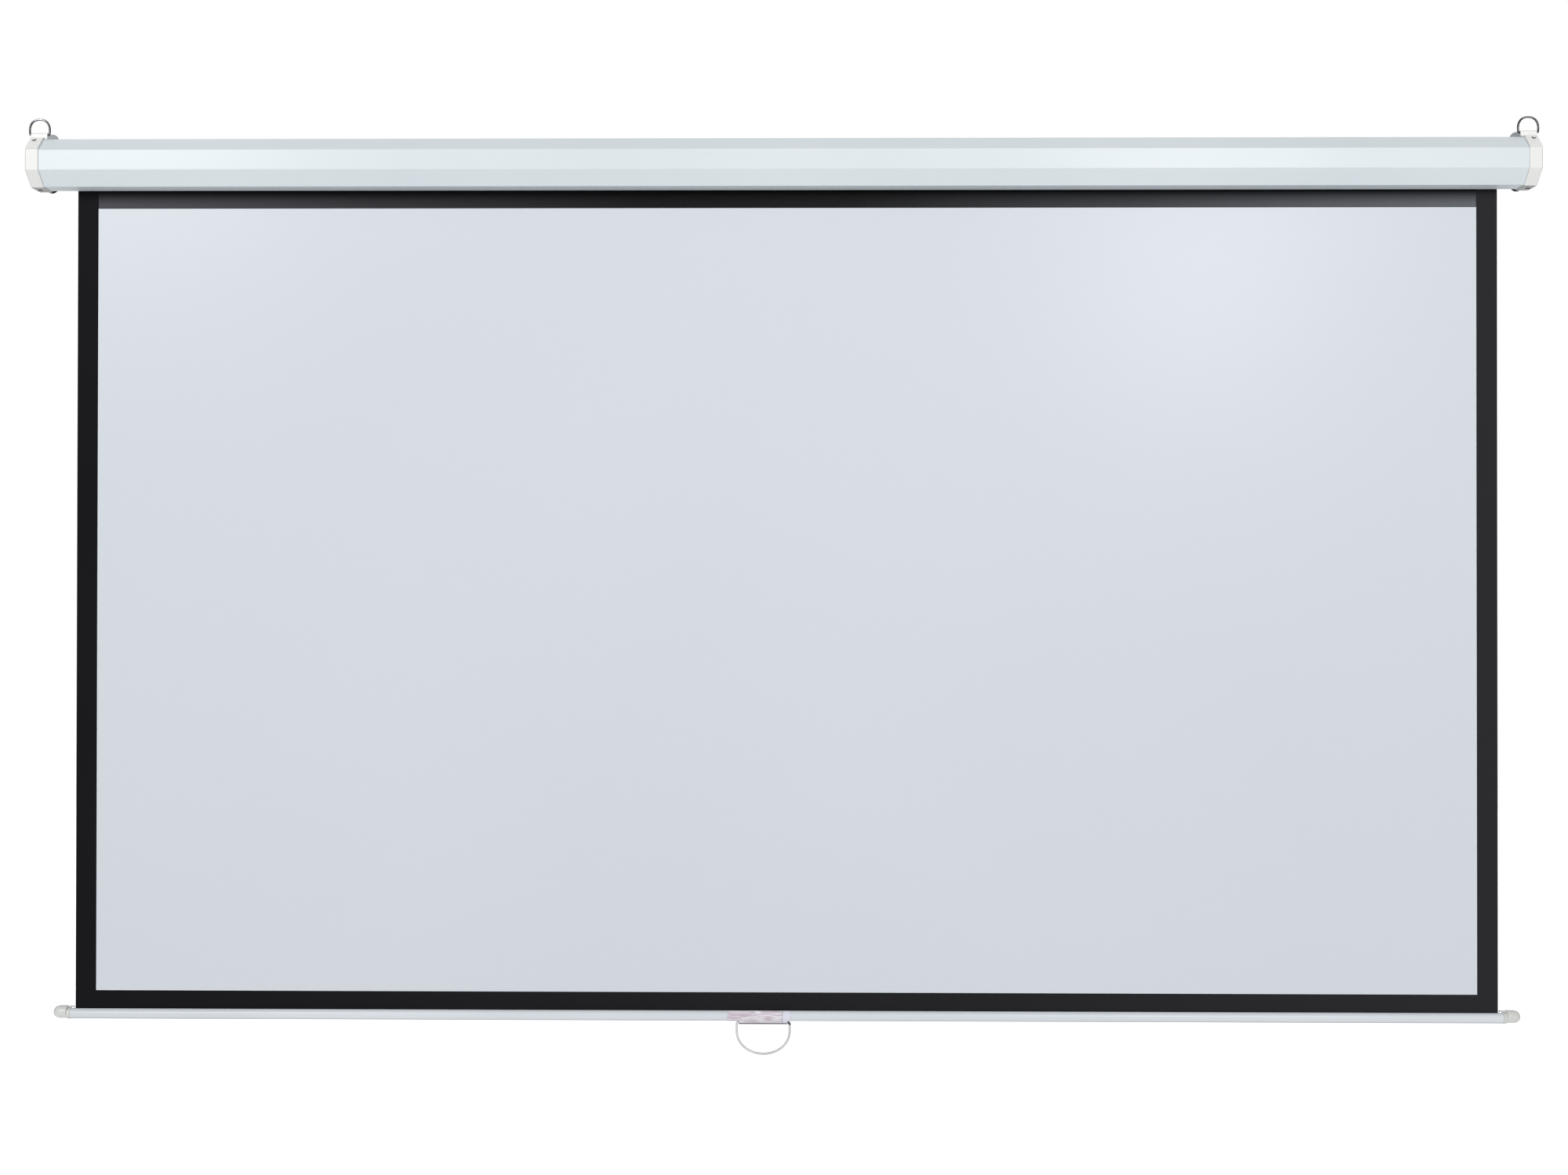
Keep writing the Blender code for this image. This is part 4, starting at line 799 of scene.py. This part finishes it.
def cut_strip(name, path, columns, kept):
    """Sheet along a path of the YZ plane; kept says which cell of a row and column is metal."""
    faces = [cell for row, column, cell in cells(len(path), len(columns)) if kept(row, column)]
    mesh = mesh_from(name, [(x, y, z) for y, z in path for x in columns], faces)
    with open_mesh(mesh) as bm:
        loose = [v for v in bm.verts if not v.link_faces]
        bmesh.ops.delete(bm, geom=loose, context="VERTS")
        bmesh.ops.recalc_face_normals(bm, faces=bm.faces)
    return link(name, mesh)


# %% Hangers
HANGER_SHEET = 0.0010
HANGER_WIDTH = 0.0240
HANGER_LEG = 0.0181
HANGER_LEG_END = 0.0138
HANGER_INSET = 0.0122
HANGER_BEND, HANGER_EASE = 0.0006, 0.0001
HANGER_EDGE = 0.0003
LEG_STEPS, CURL_STEPS = 8, 24
LEG_BELOW = 0.001           # how far under the cap's top the narrow leg ends
CURL_END = -55              # degrees
RING_WIRE = 0.0030
diagonal = math.sqrt(0.5)
curl_radius = RING_WIRE / 2 + GAP + HANGER_SHEET / 2
ring_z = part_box("hanger_left")[1].z - HANGER_SHEET - GAP - RING_WIRE / 2
ring_y = octagon(CAP_FLATS)[2][0] - HANGER_SHEET + curl_radius
slant = CAP_FLATS / 2 + GAP + HANGER_SHEET / 2
foot_y, foot_z = AXIS_Y - (slant + HANGER_LEG_END) * diagonal, (slant - HANGER_LEG_END) * diagonal
bend_y = ring_y - curl_radius
bend_z = bend_y - AXIS_Y + 2 * slant * diagonal
hanger_path = [(foot_y + (bend_y - foot_y) * k / LEG_STEPS, foot_z + (bend_z - foot_z) * k / LEG_STEPS)
               for k in range(LEG_STEPS - 1)]
hanger_path += [(bend_y - HANGER_BEND * diagonal, bend_z - HANGER_BEND * diagonal),
                (bend_y - HANGER_EASE, bend_z - HANGER_EASE / 2), (bend_y, bend_z + HANGER_BEND)]
leg_rows = sum(z < CAP_FLATS / 2 - LEG_BELOW for _, z in hanger_path)
hanger_path += arc((ring_y, ring_z), curl_radius, 180, CURL_END, CURL_STEPS)
print("hanger path", len(hanger_path), "points, leg rows", leg_rows)

for name, side in SIDES.items():
    outer = side * (CASE_END - HANGER_INSET + HANGER_WIDTH / 2)
    columns = [outer, outer - side * HANGER_LEG, outer - side * HANGER_WIDTH]
    hanger = cut_strip(f"hanger_clip_{name}", hanger_path, columns,
                       lambda row, column: column == 0 or row >= leg_rows)
    thicken(hanger, HANGER_SHEET, angle=30, bevel=HANGER_EDGE)
    settle(hanger, "case", [f"hanger_{name}"], "cap_enamel", lit_hanger_coat)

# %% [markdown]
# ## Wire that follows a path
#
# The rings and the handle are bent round wire. Their middle line is a closed loop, and a second
# small tree sweeps a circle along it. The ring's line is a D: a straight bar in the curl and an
# arch above it that is squarer than half a circle.

# %% Node tree for bent wire
WIRE_FACETS = 20
MERGE = 0.00001
wire_tree, entry = node_group("bent_wire", {"Wire radius": "NodeSocketFloat", "Facets": "NodeSocketInt",
                                            "Finish": "NodeSocketMaterial"})
middle_line = add(wire_tree, "GeometryNodeMeshToCurve", {"Mesh": entry["Geometry"]})
section = add(wire_tree, "GeometryNodeCurvePrimitiveCircle", {"Resolution": entry["Facets"],
                                                              "Radius": entry["Wire radius"]})
swept = add(wire_tree, "GeometryNodeCurveToMesh", {"Curve": middle_line, "Profile Curve": section})
end_group(wire_tree, swept, entry["Finish"])


def bend_wire(name, points, radius, finish):
    """Round wire along a closed line."""
    piece = grow(name, line_mesh(f"{name}_line", points, closed=True), wire_tree,
                 {"Wire radius": radius, "Facets": WIRE_FACETS, "Finish": finish})
    outward(piece.data, MERGE)
    smooth(piece.data, 60)
    return piece


def corner(before, point, after, radius, steps=8):
    """Points of a rounded corner between two straight runs."""
    before, point, after = (Vector((*end, 0)) for end in (before, point, after))
    back, ahead = (before - point).normalized(), (after - point).normalized()
    half = back.angle(ahead) / 2
    start, end = point + back * radius / math.tan(half), point + ahead * radius / math.tan(half)
    centre = point + (back + ahead).normalized() * radius / math.sin(half)
    ways = [(start - centre).slerp(end - centre, k / steps) for k in range(steps + 1)]
    return [tuple((centre + way.normalized() * radius).xy) for way in ways]


def close_bow(bow, end, radius):
    """Closed line of a bow and a straight bar at height 0 from x = end to -end, corners rounded."""
    first, last = (end, 0), (-end, 0)
    return [*bow, *corner(bow[-1], first, last, radius), *corner(first, last, bow[0], radius)]


# %% Rings
RING_WIDTH = 0.0324
RING_HEIGHT = 0.0240
RING_SHOULDER = 0.0060
RING_ARCH = 2.3
RING_FOOT = 0.0021
RING_PINCH = 0.0004
ARCH_STEPS = 48


def ring_line():
    """Middle line of the ring in the XZ plane, its bar at height 0."""
    half = (RING_WIDTH - RING_WIRE) / 2
    rise = RING_HEIGHT - RING_WIRE / 2 - RING_SHOULDER
    power = 2 / RING_ARCH
    arch = [(half * math.copysign(abs(x) ** power, x), RING_SHOULDER + rise * max(z, 0) ** power)
            for x, z in arc((0, 0), 1, 0, 180, ARCH_STEPS)]
    return close_bow(arch, RING_PINCH - half, RING_FOOT)


for name, side in SIDES.items():
    line = [(side * (CASE_END - HANGER_INSET) + x, ring_y, ring_z + z) for x, z in ring_line()]
    ring = bend_wire(f"hanging_ring_{name}", line, RING_WIRE / 2, ring_plate)
    settle(ring, f"{name}_ring", [f"ring_{name}"], "polished_steel")

# %% [markdown]
# ## Screws
#
# Four pan head screws show: one on each hanger's leg and one under each cap. Four flat heads hold
# the wall plates and sit flush in them. A head is turned and has a cross recess, cut by two
# crossed wedges. Each vertex stores how near to the head's edge it is, for a ring of painted shade
# round the edge. Geometry Nodes set one head on each point and turn it along the point's own
# direction, which is stored on the mesh.

# %% Screw heads
HEAD_RADIUS, HEAD_HEIGHT, HEAD_EASE = 0.0027, 0.0018, 0.0001
SHANK_RADIUS, SHANK_LENGTH = 0.0016, 0.0020
DOME_FROM, DOME_POWER, DOME_STEPS = 0.42, 0.8, 8
RECESS_WIDTH, RECESS_LENGTH, RECESS_TAPER = 0.0007, 0.0032, 0.45
RECESS_FLOOR = 0.35         # of the pan head's height
FLAT_RECESS = 0.0012
HEAD_SIDES = 40
# Where the painted shade round a head's edge starts, as a share of its radius, and over what share it
# fades in.
EDGE_SHADE_FROM, EDGE_SHADE_FADE = 0.74, 0.12


def lathe(name, profile):
    """Closed turned mesh round Z from (height, radius) pairs that start and end on the axis."""
    vertices, rings = [], []
    for height, radius in profile:
        outline = arc((0, 0), radius, 0, 360, HEAD_SIDES)[:-1] if radius else [(0, 0)]
        rings.append(range(len(vertices), len(vertices) + len(outline)))
        vertices += [(x, y, height) for x, y in outline]
    faces = []
    for low, high in zip(rings, rings[1:]):
        for k in range(HEAD_SIDES):
            after = k + 1
            loop = [low[k % len(low)], low[after % len(low)], high[after % len(high)], high[k % len(high)]]
            faces.append(tuple(dict.fromkeys(loop)))
    mesh = mesh_from(name, vertices, faces)
    outward(mesh)
    return mesh


def driver_tip(depth):
    """Two crossed tapered blades."""
    mesh = bpy.data.meshes.new("driver_tip")
    with open_mesh(mesh) as bm:
        for turn in (0, math.pi / 2):
            for vertex in bmesh.ops.create_cube(bm, size=1.0)["verts"]:
                low = vertex.co.z < 0
                x = vertex.co.x * RECESS_LENGTH * (RECESS_TAPER if low else 1)
                y = vertex.co.y * RECESS_WIDTH
                vertex.co = (x * math.cos(turn) - y * math.sin(turn),
                             x * math.sin(turn) + y * math.cos(turn), -depth if low else HEAD_HEIGHT)
    return mesh


def recessed_head(name, profile, recess_depth):
    """Turned head with the cross recess cut in it and its nearness to the edge on its vertices."""
    head = link(name, lathe(name, profile))
    tip_of_driver = link("driver_tip", driver_tip(recess_depth))
    modify(head, "recess", "BOOLEAN", operation="DIFFERENCE", solver="EXACT", use_self=True,
           object=tip_of_driver)
    mesh = baked(head, name, tip_of_driver)
    smooth(mesh, 35)
    widest = max(radius for _, radius in profile)
    edge = mesh.attributes.new("edge", "FLOAT", "POINT")
    for value, vertex in zip(edge.data, mesh.vertices):
        value.value = min(max((vertex.co.xy.length / widest - EDGE_SHADE_FROM) / EDGE_SHADE_FADE, 0), 1)
    print(name, len(mesh.polygons), "faces")
    return mesh


dome = [(-SHANK_LENGTH, 0), (-SHANK_LENGTH, SHANK_RADIUS), (0, SHANK_RADIUS), (0, HEAD_RADIUS - HEAD_EASE),
        (HEAD_EASE, HEAD_RADIUS)]
for out, up in arc((0, 0), 1, 0, 90, DOME_STEPS)[:-1]:
    dome.append((HEAD_HEIGHT * (DOME_FROM + (1 - DOME_FROM) * up), HEAD_RADIUS * out ** DOME_POWER))
dome.append((HEAD_HEIGHT, 0))
flat_low, flat_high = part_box("wall_plate_screw_upper_left")
flat_radius, flat_length = (flat_high.x - flat_low.x) / 2, flat_high.y - flat_low.y
cone = flat_radius / 2
flat = [(-flat_length, 0), (-flat_length, flat_radius - cone), (-cone, flat_radius - cone),
        (-2 * HEAD_EASE, flat_radius), (-HEAD_EASE, flat_radius), (0, flat_radius - HEAD_EASE), (0, 0)]
pan_head = recessed_head("pan_head", dome, -HEAD_HEIGHT * RECESS_FLOOR)
flat_head = recessed_head("flat_head", flat, FLAT_RECESS)

# %% Screws set along their directions
screws, entry = node_group("driven_screws", {"Head": "NodeSocketObject", "Finish": "NodeSocketMaterial"})
heading = add(screws, "GeometryNodeInputNamedAttribute", {"Name": "direction"}, data_type="FLOAT_VECTOR")
turned = add(screws, "FunctionNodeAlignRotationToVector", {"Vector": heading}, axis="Z")
model = add(screws, "GeometryNodeObjectInfo", {"Object": entry["Head"]})
heads = add(screws, "GeometryNodeInstanceOnPoints", {"Points": entry["Geometry"], "Rotation": turned,
                                                     "Instance": model.outputs["Geometry"]})
end_group(screws, heads, entry["Finish"])

SCREW_INSET = 0.0073
SCREW_RISE = 0.0070


def drive(name, sites, head_mesh, finish, replaced):
    """One piece with a screw on each (place, direction)."""
    points = mesh_from(f"{name}_sites", [place for place, _ in sites])
    directions = points.attributes.new("direction", "FLOAT_VECTOR", "POINT")
    for value, (_, direction) in zip(directions.data, sites):
        value.vector = direction
    master = link("screw_master", head_mesh)
    heads = grow(name, points, screws, {"Head": master, "Finish": finish})
    bpy.data.objects.remove(master)
    settle(heads, "case", replaced, "zinc_steel")


seat = CAP_FLATS / 2 + 2 * GAP + HANGER_SHEET
sites = []
for side in SIDES.values():
    x = side * (CASE_END - SCREW_INSET)
    sites.append(((x, AXIS_Y + (SCREW_RISE - seat) * diagonal, (seat + SCREW_RISE) * diagonal),
                  (0, -diagonal, diagonal)))
    sites.append(((x, AXIS_Y, -CAP_FLATS / 2 - GAP), (0, 0, -1)))
drive("pan_head_screws", sites, pan_head, screw_paint,
      ["hanger_screw_left", "hanger_screw_right", "bottom_screw_left", "bottom_screw_right"])
plate_screws = [f"wall_plate_screw_{level}_{name}" for level in ("upper", "lower") for name in SIDES]
sites = []
for name in plate_screws:
    low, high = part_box(name)
    sites.append((((low.x + high.x) / 2, high.y, (low.z + high.z) / 2), (0, 1, 0)))
drive("flat_head_screws", sites, flat_head, zinc_plate, plate_screws)

# %% [markdown]
# ## Wall plates
#
# The plates behind the caps are flat steel with a keyhole. Their CAD outline is right and only
# their edges are too crisp for a stamped plate. A copy of the CAD mesh, merged and with its flats
# made whole, keeps the outline and gets edges eased by a third of a millimetre.

# %% Wall plates
PLATE_EASE = 0.0003
PLATE_MERGE = 0.000005
for name in SIDES:
    stamped = nodes[f"wall_plate_{name}"].data.copy()
    stamped.name = f"keyhole_plate_{name}"
    with open_mesh(stamped) as bm:
        bmesh.ops.remove_doubles(bm, verts=bm.verts, dist=PLATE_MERGE)
        bmesh.ops.dissolve_limit(bm, angle_limit=math.radians(1), verts=bm.verts, edges=bm.edges)
    plate = link(f"keyhole_plate_{name}", stamped)
    crisp(plate, angle=30, bevel=PLATE_EASE)
    settle(plate, "case", [f"wall_plate_{name}"], "plate_enamel", plate_coat)


# %% [markdown]
# ## The cloth
#
# The cloth hangs straight from the roller to the bar and is held taut by the bar's weight. It is
# a black sheet with a coat of matt white in front. As the bar rises the real cloth winds on the
# roller. Here the lowest strip, which never reaches the roller, rides on the bar. A very slight
# wave breaks up its reflections.

# %% Cloth sheets
WAVE = 0.0004
WAVE_X, WAVE_Z, WAVE_START = 7.3, 2.1, 0.6     # radians per metre, and radians
CLOTH_STEP = 0.02
BACKING = cloth_high.y - cloth_low.y
FACE = face_high.y - face_low.y
strip_top = face_low.z
length = cloth_high.z - strip_top


def cloth_wave(x, z):
    """How far the taut cloth stands out of its plane: nothing at the top and the bottom."""
    share = min(1.0, max(0.0, (cloth_high.z - z) / length))
    return WAVE * math.sin(math.pi * share) * math.sin(WAVE_X * x + WAVE_Z * z + WAVE_START)


def steps_between(*marks):
    """Values that include every mark and are at most a step apart."""
    values = []
    for low, high in zip(marks, marks[1:]):
        count = max(1, math.ceil((high - low) / CLOTH_STEP))
        values += [low + (high - low) * k / count for k in range(count)]
    return [*values, marks[-1]]


def solid_sheet(sheet, thickness):
    """Plain piece of a sheet with its UV map, its thickness and sharp rims."""
    name = sheet.name
    flat_map = sheet.data.uv_layers.new(name=FLAT_MAP)
    for loop in sheet.data.loops:
        flat_map.data[loop.index].uv = sheet.data.vertices[loop.vertex_index].co.xz
    modify(sheet, "thickness", "SOLIDIFY", thickness=thickness, offset=0.0)
    mesh = baked(sheet, name)
    smooth(mesh, 50)
    return link(name, mesh)


def hung_sheet(name, xs, zs, y, thickness):
    """Grid of cloth in the XZ plane, with its slight wave."""
    vertices = [(x, y + cloth_wave(x, z), z) for z in zs for x in xs]
    mesh = mesh_from(name, vertices, [cell for *_, cell in cells(len(zs), len(xs))])
    return solid_sheet(link(name, mesh), thickness)


cloth = hung_sheet("hanging_cloth", steps_between(cloth_low.x, face_low.x, face_high.x, cloth_high.x),
                   steps_between(strip_top, face_high.z, cloth_high.z), CLOTH_Y, BACKING)
picture = hung_sheet("picture_coat", steps_between(face_low.x, face_high.x),
                     steps_between(face_low.z, face_high.z), (face_low.y + face_high.y) / 2, FACE)
for face in cloth.data.polygons:
    x, _, z = face.center
    on_rear = face.normal.y > 0.5
    face.material_index = int(face_low.x < x < face_high.x and z > face_high.z and not on_rear)
for sheet, low, high in ((cloth, cloth_low, cloth_high), (picture, face_low, face_high)):
    print(sheet.name, [round(v, 4) for v in high - low])

# %% [markdown]
# The lowest strip of cloth goes down through the bar's slot, round the hem rod and up again
# behind itself, where it is welded. Its side view is a path, so the rolled sheet tree makes it.
# The turns of cloth that stay on the roller are a spiral, made in the same way.

# %% Border strip with its hem, and the turns on the roller
WELD = 0.012
LAYER_GAP = 0.00005
HEM_START, HEM_STEPS = 94, 40                  # degrees where the strip meets the turn round the rod
MOUTH_CLEAR = 0.001
TURNS, TURN_STEPS = 2, 72
rod_low, rod_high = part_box("hem_rod")
rod_centre = ((rod_low.y + rod_high.y) / 2, (rod_low.z + rod_high.z) / 2)
hem_radius = (rod_high.z - rod_low.z) / 2 + GAP + BACKING / 2
second_layer = BACKING + LAYER_GAP
bend_angle = math.degrees(math.asin((second_layer - BACKING / 2) / hem_radius))
mouth = bar_high.z + MOUTH_CLEAR
hem_path = [(CLOTH_Y, strip_top), (CLOTH_Y, mouth),
            *arc(rod_centre, hem_radius, HEM_START, 450 - bend_angle, HEM_STEPS),
            (CLOTH_Y + second_layer, mouth), (CLOTH_Y + second_layer, bar_high.z + WELD)]
border = roll("border_strip", cloth_low, cloth_high, hem_path, black_vinyl)

wrap_low, wrap_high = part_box("cloth_wraps")
first_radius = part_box("roller_tube")[1].z + GAP + BACKING / 2
pitch = (CLOTH_Y - AXIS_Y - first_radius) / TURNS
spiral = []
for k in range(TURN_STEPS * TURNS + 1):
    angle, radius = -2 * math.pi * k / TURN_STEPS, first_radius + pitch * k / TURN_STEPS
    spiral.append((AXIS_Y + radius * math.cos(angle), radius * math.sin(angle)))
turns = roll("cloth_turns", wrap_low, wrap_high, spiral, black_vinyl)
border, turns = solid_sheet(border, BACKING), solid_sheet(turns, BACKING)

# %% [markdown]
# When the screen is up, a short piece of cloth is left between the roller and the bar. The place
# where the white coat would end is worked out lower down that piece, because at the roller's
# height it would cut into the turns. Each sheet gets its body and a mesh of its own.

# %% Bodies of the cloth
COAT_STOP = 0.95            # how far down that last piece of cloth the white coat ends
travel = next(j for j in frame["joints"] if j["name"] == "pull")["range_m"][1]
coat_stop = cloth_high.z - COAT_STOP * (length - travel)
settle(cloth, "case", ["screen_backing"], "black_cloth", black_vinyl, drop_vinyl)
settle(picture, "case", ["screen_face"], "white_cloth", white_vinyl)
settle(border, "bar", ["cloth_hem"], "black_cloth")
settle(turns, "roller", ["cloth_wraps"], "black_cloth")
for sheet, stop in ((cloth, cloth_high.z), (picture, coat_stop)):
    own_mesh(sheet)


# %% [markdown]
# ## The weight bar
#
# The bar is a steel tube with a slot along its top. The cloth's hem sits in it and cannot come
# out through the slot. Its path is an arc that leaves the slot open.

# %% Weight bar
BAR_SHEET = 0.0009
BAR_SLOT = 0.0026
TUBE_STEPS = 72
tube_line = BAR_RADIUS - BAR_SHEET / 2
opening = math.degrees(math.asin(BAR_SLOT / 2 / tube_line))
tube_route = arc((CLOTH_Y, BAR_Z), tube_line, 90 + opening, 450 - opening, TUBE_STEPS)
bar = roll("slotted_bar", bar_low, bar_high, tube_route, bar_coat)
thicken(bar, BAR_SHEET, angle=60)
settle(bar, "bar", ["weight_bar"], "bar_enamel")

# %% [markdown]
# ### Caps of the bar
#
# Each end has a moulded cap: a plug inside the tube, a short collar and a fuller nose that sits a
# little higher than the tube, so that it stops the bar under the case. A tongue reaches over the
# collar and ends in a steel pip by the cloth's corner, drawn dark as a line of painted shade. The
# cap is a stack of circles of different height.

# %% Bar caps
NOSE_RADIUS = 0.00925
NOSE_LIFT = 0.0023
NOSE_LENGTH = 0.0200
NOSE_SHAFT = 0.0090
NOSE_POWER = 2 / 2.4
NOSE_STEPS, TIP_LEFT = 12, 0.5      # steps to the tip, and the share of one that leaves it blunt
NOSE_SIDES = 48
NOSE_EASE = 0.0003
COLLAR_RADIUS = 0.0081
COLLAR_LENGTH = 0.0055
PLUG_LENGTH = 0.0055
TONGUE_TOP = 0.96           # of the nose's radius
TONGUE_TAPER = 0.7
TONGUE_TIP = -0.0006
PIP_PLACE = -0.0043
PIP_RADIUS = 0.0011


def nose_loops(end, side):
    """Circles of the cap, from the plug's end to the tip of the nose."""
    plug = BAR_RADIUS - BAR_SHEET - GAP
    shoulder = COLLAR_LENGTH + NOSE_SHAFT
    stations = [(-PLUG_LENGTH, 0, plug - NOSE_EASE), (NOSE_EASE - PLUG_LENGTH, 0, plug), (GAP, 0, plug),
                (GAP, 0, COLLAR_RADIUS - NOSE_EASE), (GAP + NOSE_EASE, 0, COLLAR_RADIUS),
                (COLLAR_LENGTH - NOSE_EASE, 0, COLLAR_RADIUS),
                (COLLAR_LENGTH, NOSE_EASE, COLLAR_RADIUS - NOSE_EASE / 2),
                (COLLAR_LENGTH, NOSE_LIFT, NOSE_RADIUS - NOSE_EASE),
                (COLLAR_LENGTH + NOSE_EASE, NOSE_LIFT, NOSE_RADIUS), (shoulder, NOSE_LIFT, NOSE_RADIUS)]
    for k in range(1, NOSE_STEPS + 1):
        angle = math.pi / 2 * k / (NOSE_STEPS + TIP_LEFT)
        stations.append((shoulder + (NOSE_LENGTH - NOSE_SHAFT) * math.sin(angle) ** NOSE_POWER, NOSE_LIFT,
                         NOSE_RADIUS * math.cos(angle) ** NOSE_POWER))
    return [(end + side * reach, arc((CLOTH_Y, BAR_Z + lift), radius, 0, 360, NOSE_SIDES)[:-1])
            for reach, lift, radius in stations]


# First and last x from the tube's end, width and depth: the tongue, and the steel neck before it.
TONGUE_PARTS = [(TONGUE_TIP, COLLAR_LENGTH + 0.004, 0.0050, 0.0024),
                (PIP_PLACE, TONGUE_TIP + 0.001, 0.0010, 0.0009)]
TONGUE_FACES = 6


def tongue_mesh(end, side):
    """Tongue from the nose over the collar, with a thin steel neck and a round pip before it."""
    top = BAR_Z + NOSE_LIFT + NOSE_RADIUS * TONGUE_TOP
    mesh = bpy.data.meshes.new("tongue")
    with open_mesh(mesh) as bm:
        for first, last, width, depth in TONGUE_PARTS:
            for vertex in bmesh.ops.create_cube(bm, size=1.0)["verts"]:
                near = vertex.co.x < 0
                taper = TONGUE_TAPER if near else 1.0
                vertex.co = (end + side * (first if near else last), CLOTH_Y + vertex.co.y * width * taper,
                             top - depth * (0.5 - vertex.co.z * taper) - NOSE_EASE)
        for vertex in bmesh.ops.create_icosphere(bm, subdivisions=2, radius=PIP_RADIUS)["verts"]:
            vertex.co += Vector((end + side * PIP_PLACE, CLOTH_Y, top - PIP_RADIUS))
        # The neck and pip take the dark steel finish, which draws a line of painted shade by the cloth's
        # corner.
        for number, face in enumerate(bm.faces):
            face.material_index = int(number >= TONGUE_FACES)
        bmesh.ops.recalc_face_normals(bm, faces=bm.faces)
    return mesh


for name, side in SIDES.items():
    end = bar_high.x if side > 0 else bar_low.x
    shape = stacked(f"bar_end_{name}", nose_loops(end, side))
    with open_mesh(shape) as bm:
        bm.from_mesh(tongue_mesh(end, side))
    smooth(shape, 38)
    nose = link(f"bar_nose_{name}", shape)
    settle(nose, "bar", [f"bar_cap_{name}"], "cap_plastic", cap_plastic, spring_wire)

# %% [markdown]
# ### Saddle and handle
#
# The saddle is a thin spring clip round the bar with a pocket under it. The handle's upper bar
# turns in the pocket, and both ends of the pocket are cut away so that the handle can swing. The
# handle's line runs along the pocket, down both sides and round a wide bow.

# %% Saddle
SADDLE_SHEET, SADDLE_EDGE = 0.0008, 0.0002
SADDLE_STEPS = 24
SADDLE_FRONT, SADDLE_REAR = 115, 360 + 45      # degrees round the bar where the clip ends
POCKET_EDGE = 55                               # degrees below the bar's middle
HANDLE_WIRE = 0.0036
HANDLE_BEND = 0.0030
NOTCH_DEPTH = 0.0075
HINGE_Z = BAR_Z - (BAR_RADIUS + GAP + HANDLE_WIRE / 2)
HANDLE_X = (handle_low.x + handle_high.x) / 2
HANDLE_WIDTH = handle_high.x - handle_low.x
round_bar = BAR_RADIUS + GAP + SADDLE_SHEET / 2
pocket = HANDLE_WIRE / 2 + GAP + SADDLE_SHEET / 2
saddle_path = [*arc((CLOTH_Y, BAR_Z), round_bar, SADDLE_FRONT, 180 + POCKET_EDGE, SADDLE_STEPS),
               *arc((CLOTH_Y, HINGE_Z), pocket, 180, 360, SADDLE_STEPS),
               *arc((CLOTH_Y, BAR_Z), round_bar, 360 - POCKET_EDGE, SADDLE_REAR, SADDLE_STEPS)]
notch = HANDLE_WIDTH / 2 - HANDLE_WIRE / 2 - HANDLE_BEND
columns = [saddle_low.x, HANDLE_X - notch, HANDLE_X + notch, saddle_high.x]


def saddle_metal(row, column):
    """The middle column is whole; the outer two are cut away below the notch's edge."""
    return column == 1 or min(saddle_path[row][1], saddle_path[row + 1][1]) > BAR_Z - NOTCH_DEPTH


saddle = cut_strip("saddle_clip", saddle_path, columns, saddle_metal)
thicken(saddle, SADDLE_SHEET, angle=40, bevel=SADDLE_EDGE)
settle(saddle, "bar", ["handle_saddle"], "bar_enamel", saddle_coat)

# %% Handle
HANDLE_SIDE = 0.0140


def handle_line():
    """Middle line of the handle in the XZ plane, its bar at height 0."""
    half = (HANDLE_WIDTH - HANDLE_WIRE) / 2
    depth = HINGE_Z - handle_low.z - HANDLE_WIRE / 2 - HANDLE_SIDE
    bow = [(half * x, depth * z - HANDLE_SIDE) for x, z in arc((0, 0), 1, 180, 360, ARCH_STEPS)]
    return close_bow(bow, half, HANDLE_BEND)


line = [(HANDLE_X + x, CLOTH_Y, HINGE_Z + z) for x, z in handle_line()]
handle = bend_wire("wire_handle", line, HANDLE_WIRE / 2, wire_enamel)
settle(handle, "handle", ["pull_handle"], "handle_enamel")

# %% [markdown]
# ## Pieces inside the case
#
# The roller, its spring motor and the rod in the hem keep their CAD shapes, which are right as
# they are. They show only when the screen is taken apart, but each gets the finish of the real
# piece.

# %% Finishes of the inner pieces
INNER = {
    zinc_plate: ["arbor", "arbor_collar", "idle_pin", "pawl_pin_upper", "pawl_pin_lower", "carrier_left",
                 "carrier_right"],
    spring_wire: ["ratchet_disc", "torsion_spring", "pawl_upper", "pawl_lower"],
    tube_zinc: ["roller_tube"],
    nylon: ["spring_plug", "arbor_steady", "idle_plug", "idle_bush", "hem_rod"],
}
for finish, names in INNER.items():
    for name in names:
        nodes[name].data.materials.clear()
        nodes[name].data.materials.append(finish)
    print(finish.name, "on", len(names), "inner pieces")

# %% [markdown]
# ## Sizes
#
# The dressed model must not outgrow the CAD model. Both boxes are measured, and how far the top
# corner grew is printed.

# %% Measure both boxes and finish
scene_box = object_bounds()
growth = [round((after - before) * 1000, 2) for before, after in zip(cad_box[1], scene_box[1])]
print("grew by", growth, "mm at the top corner")
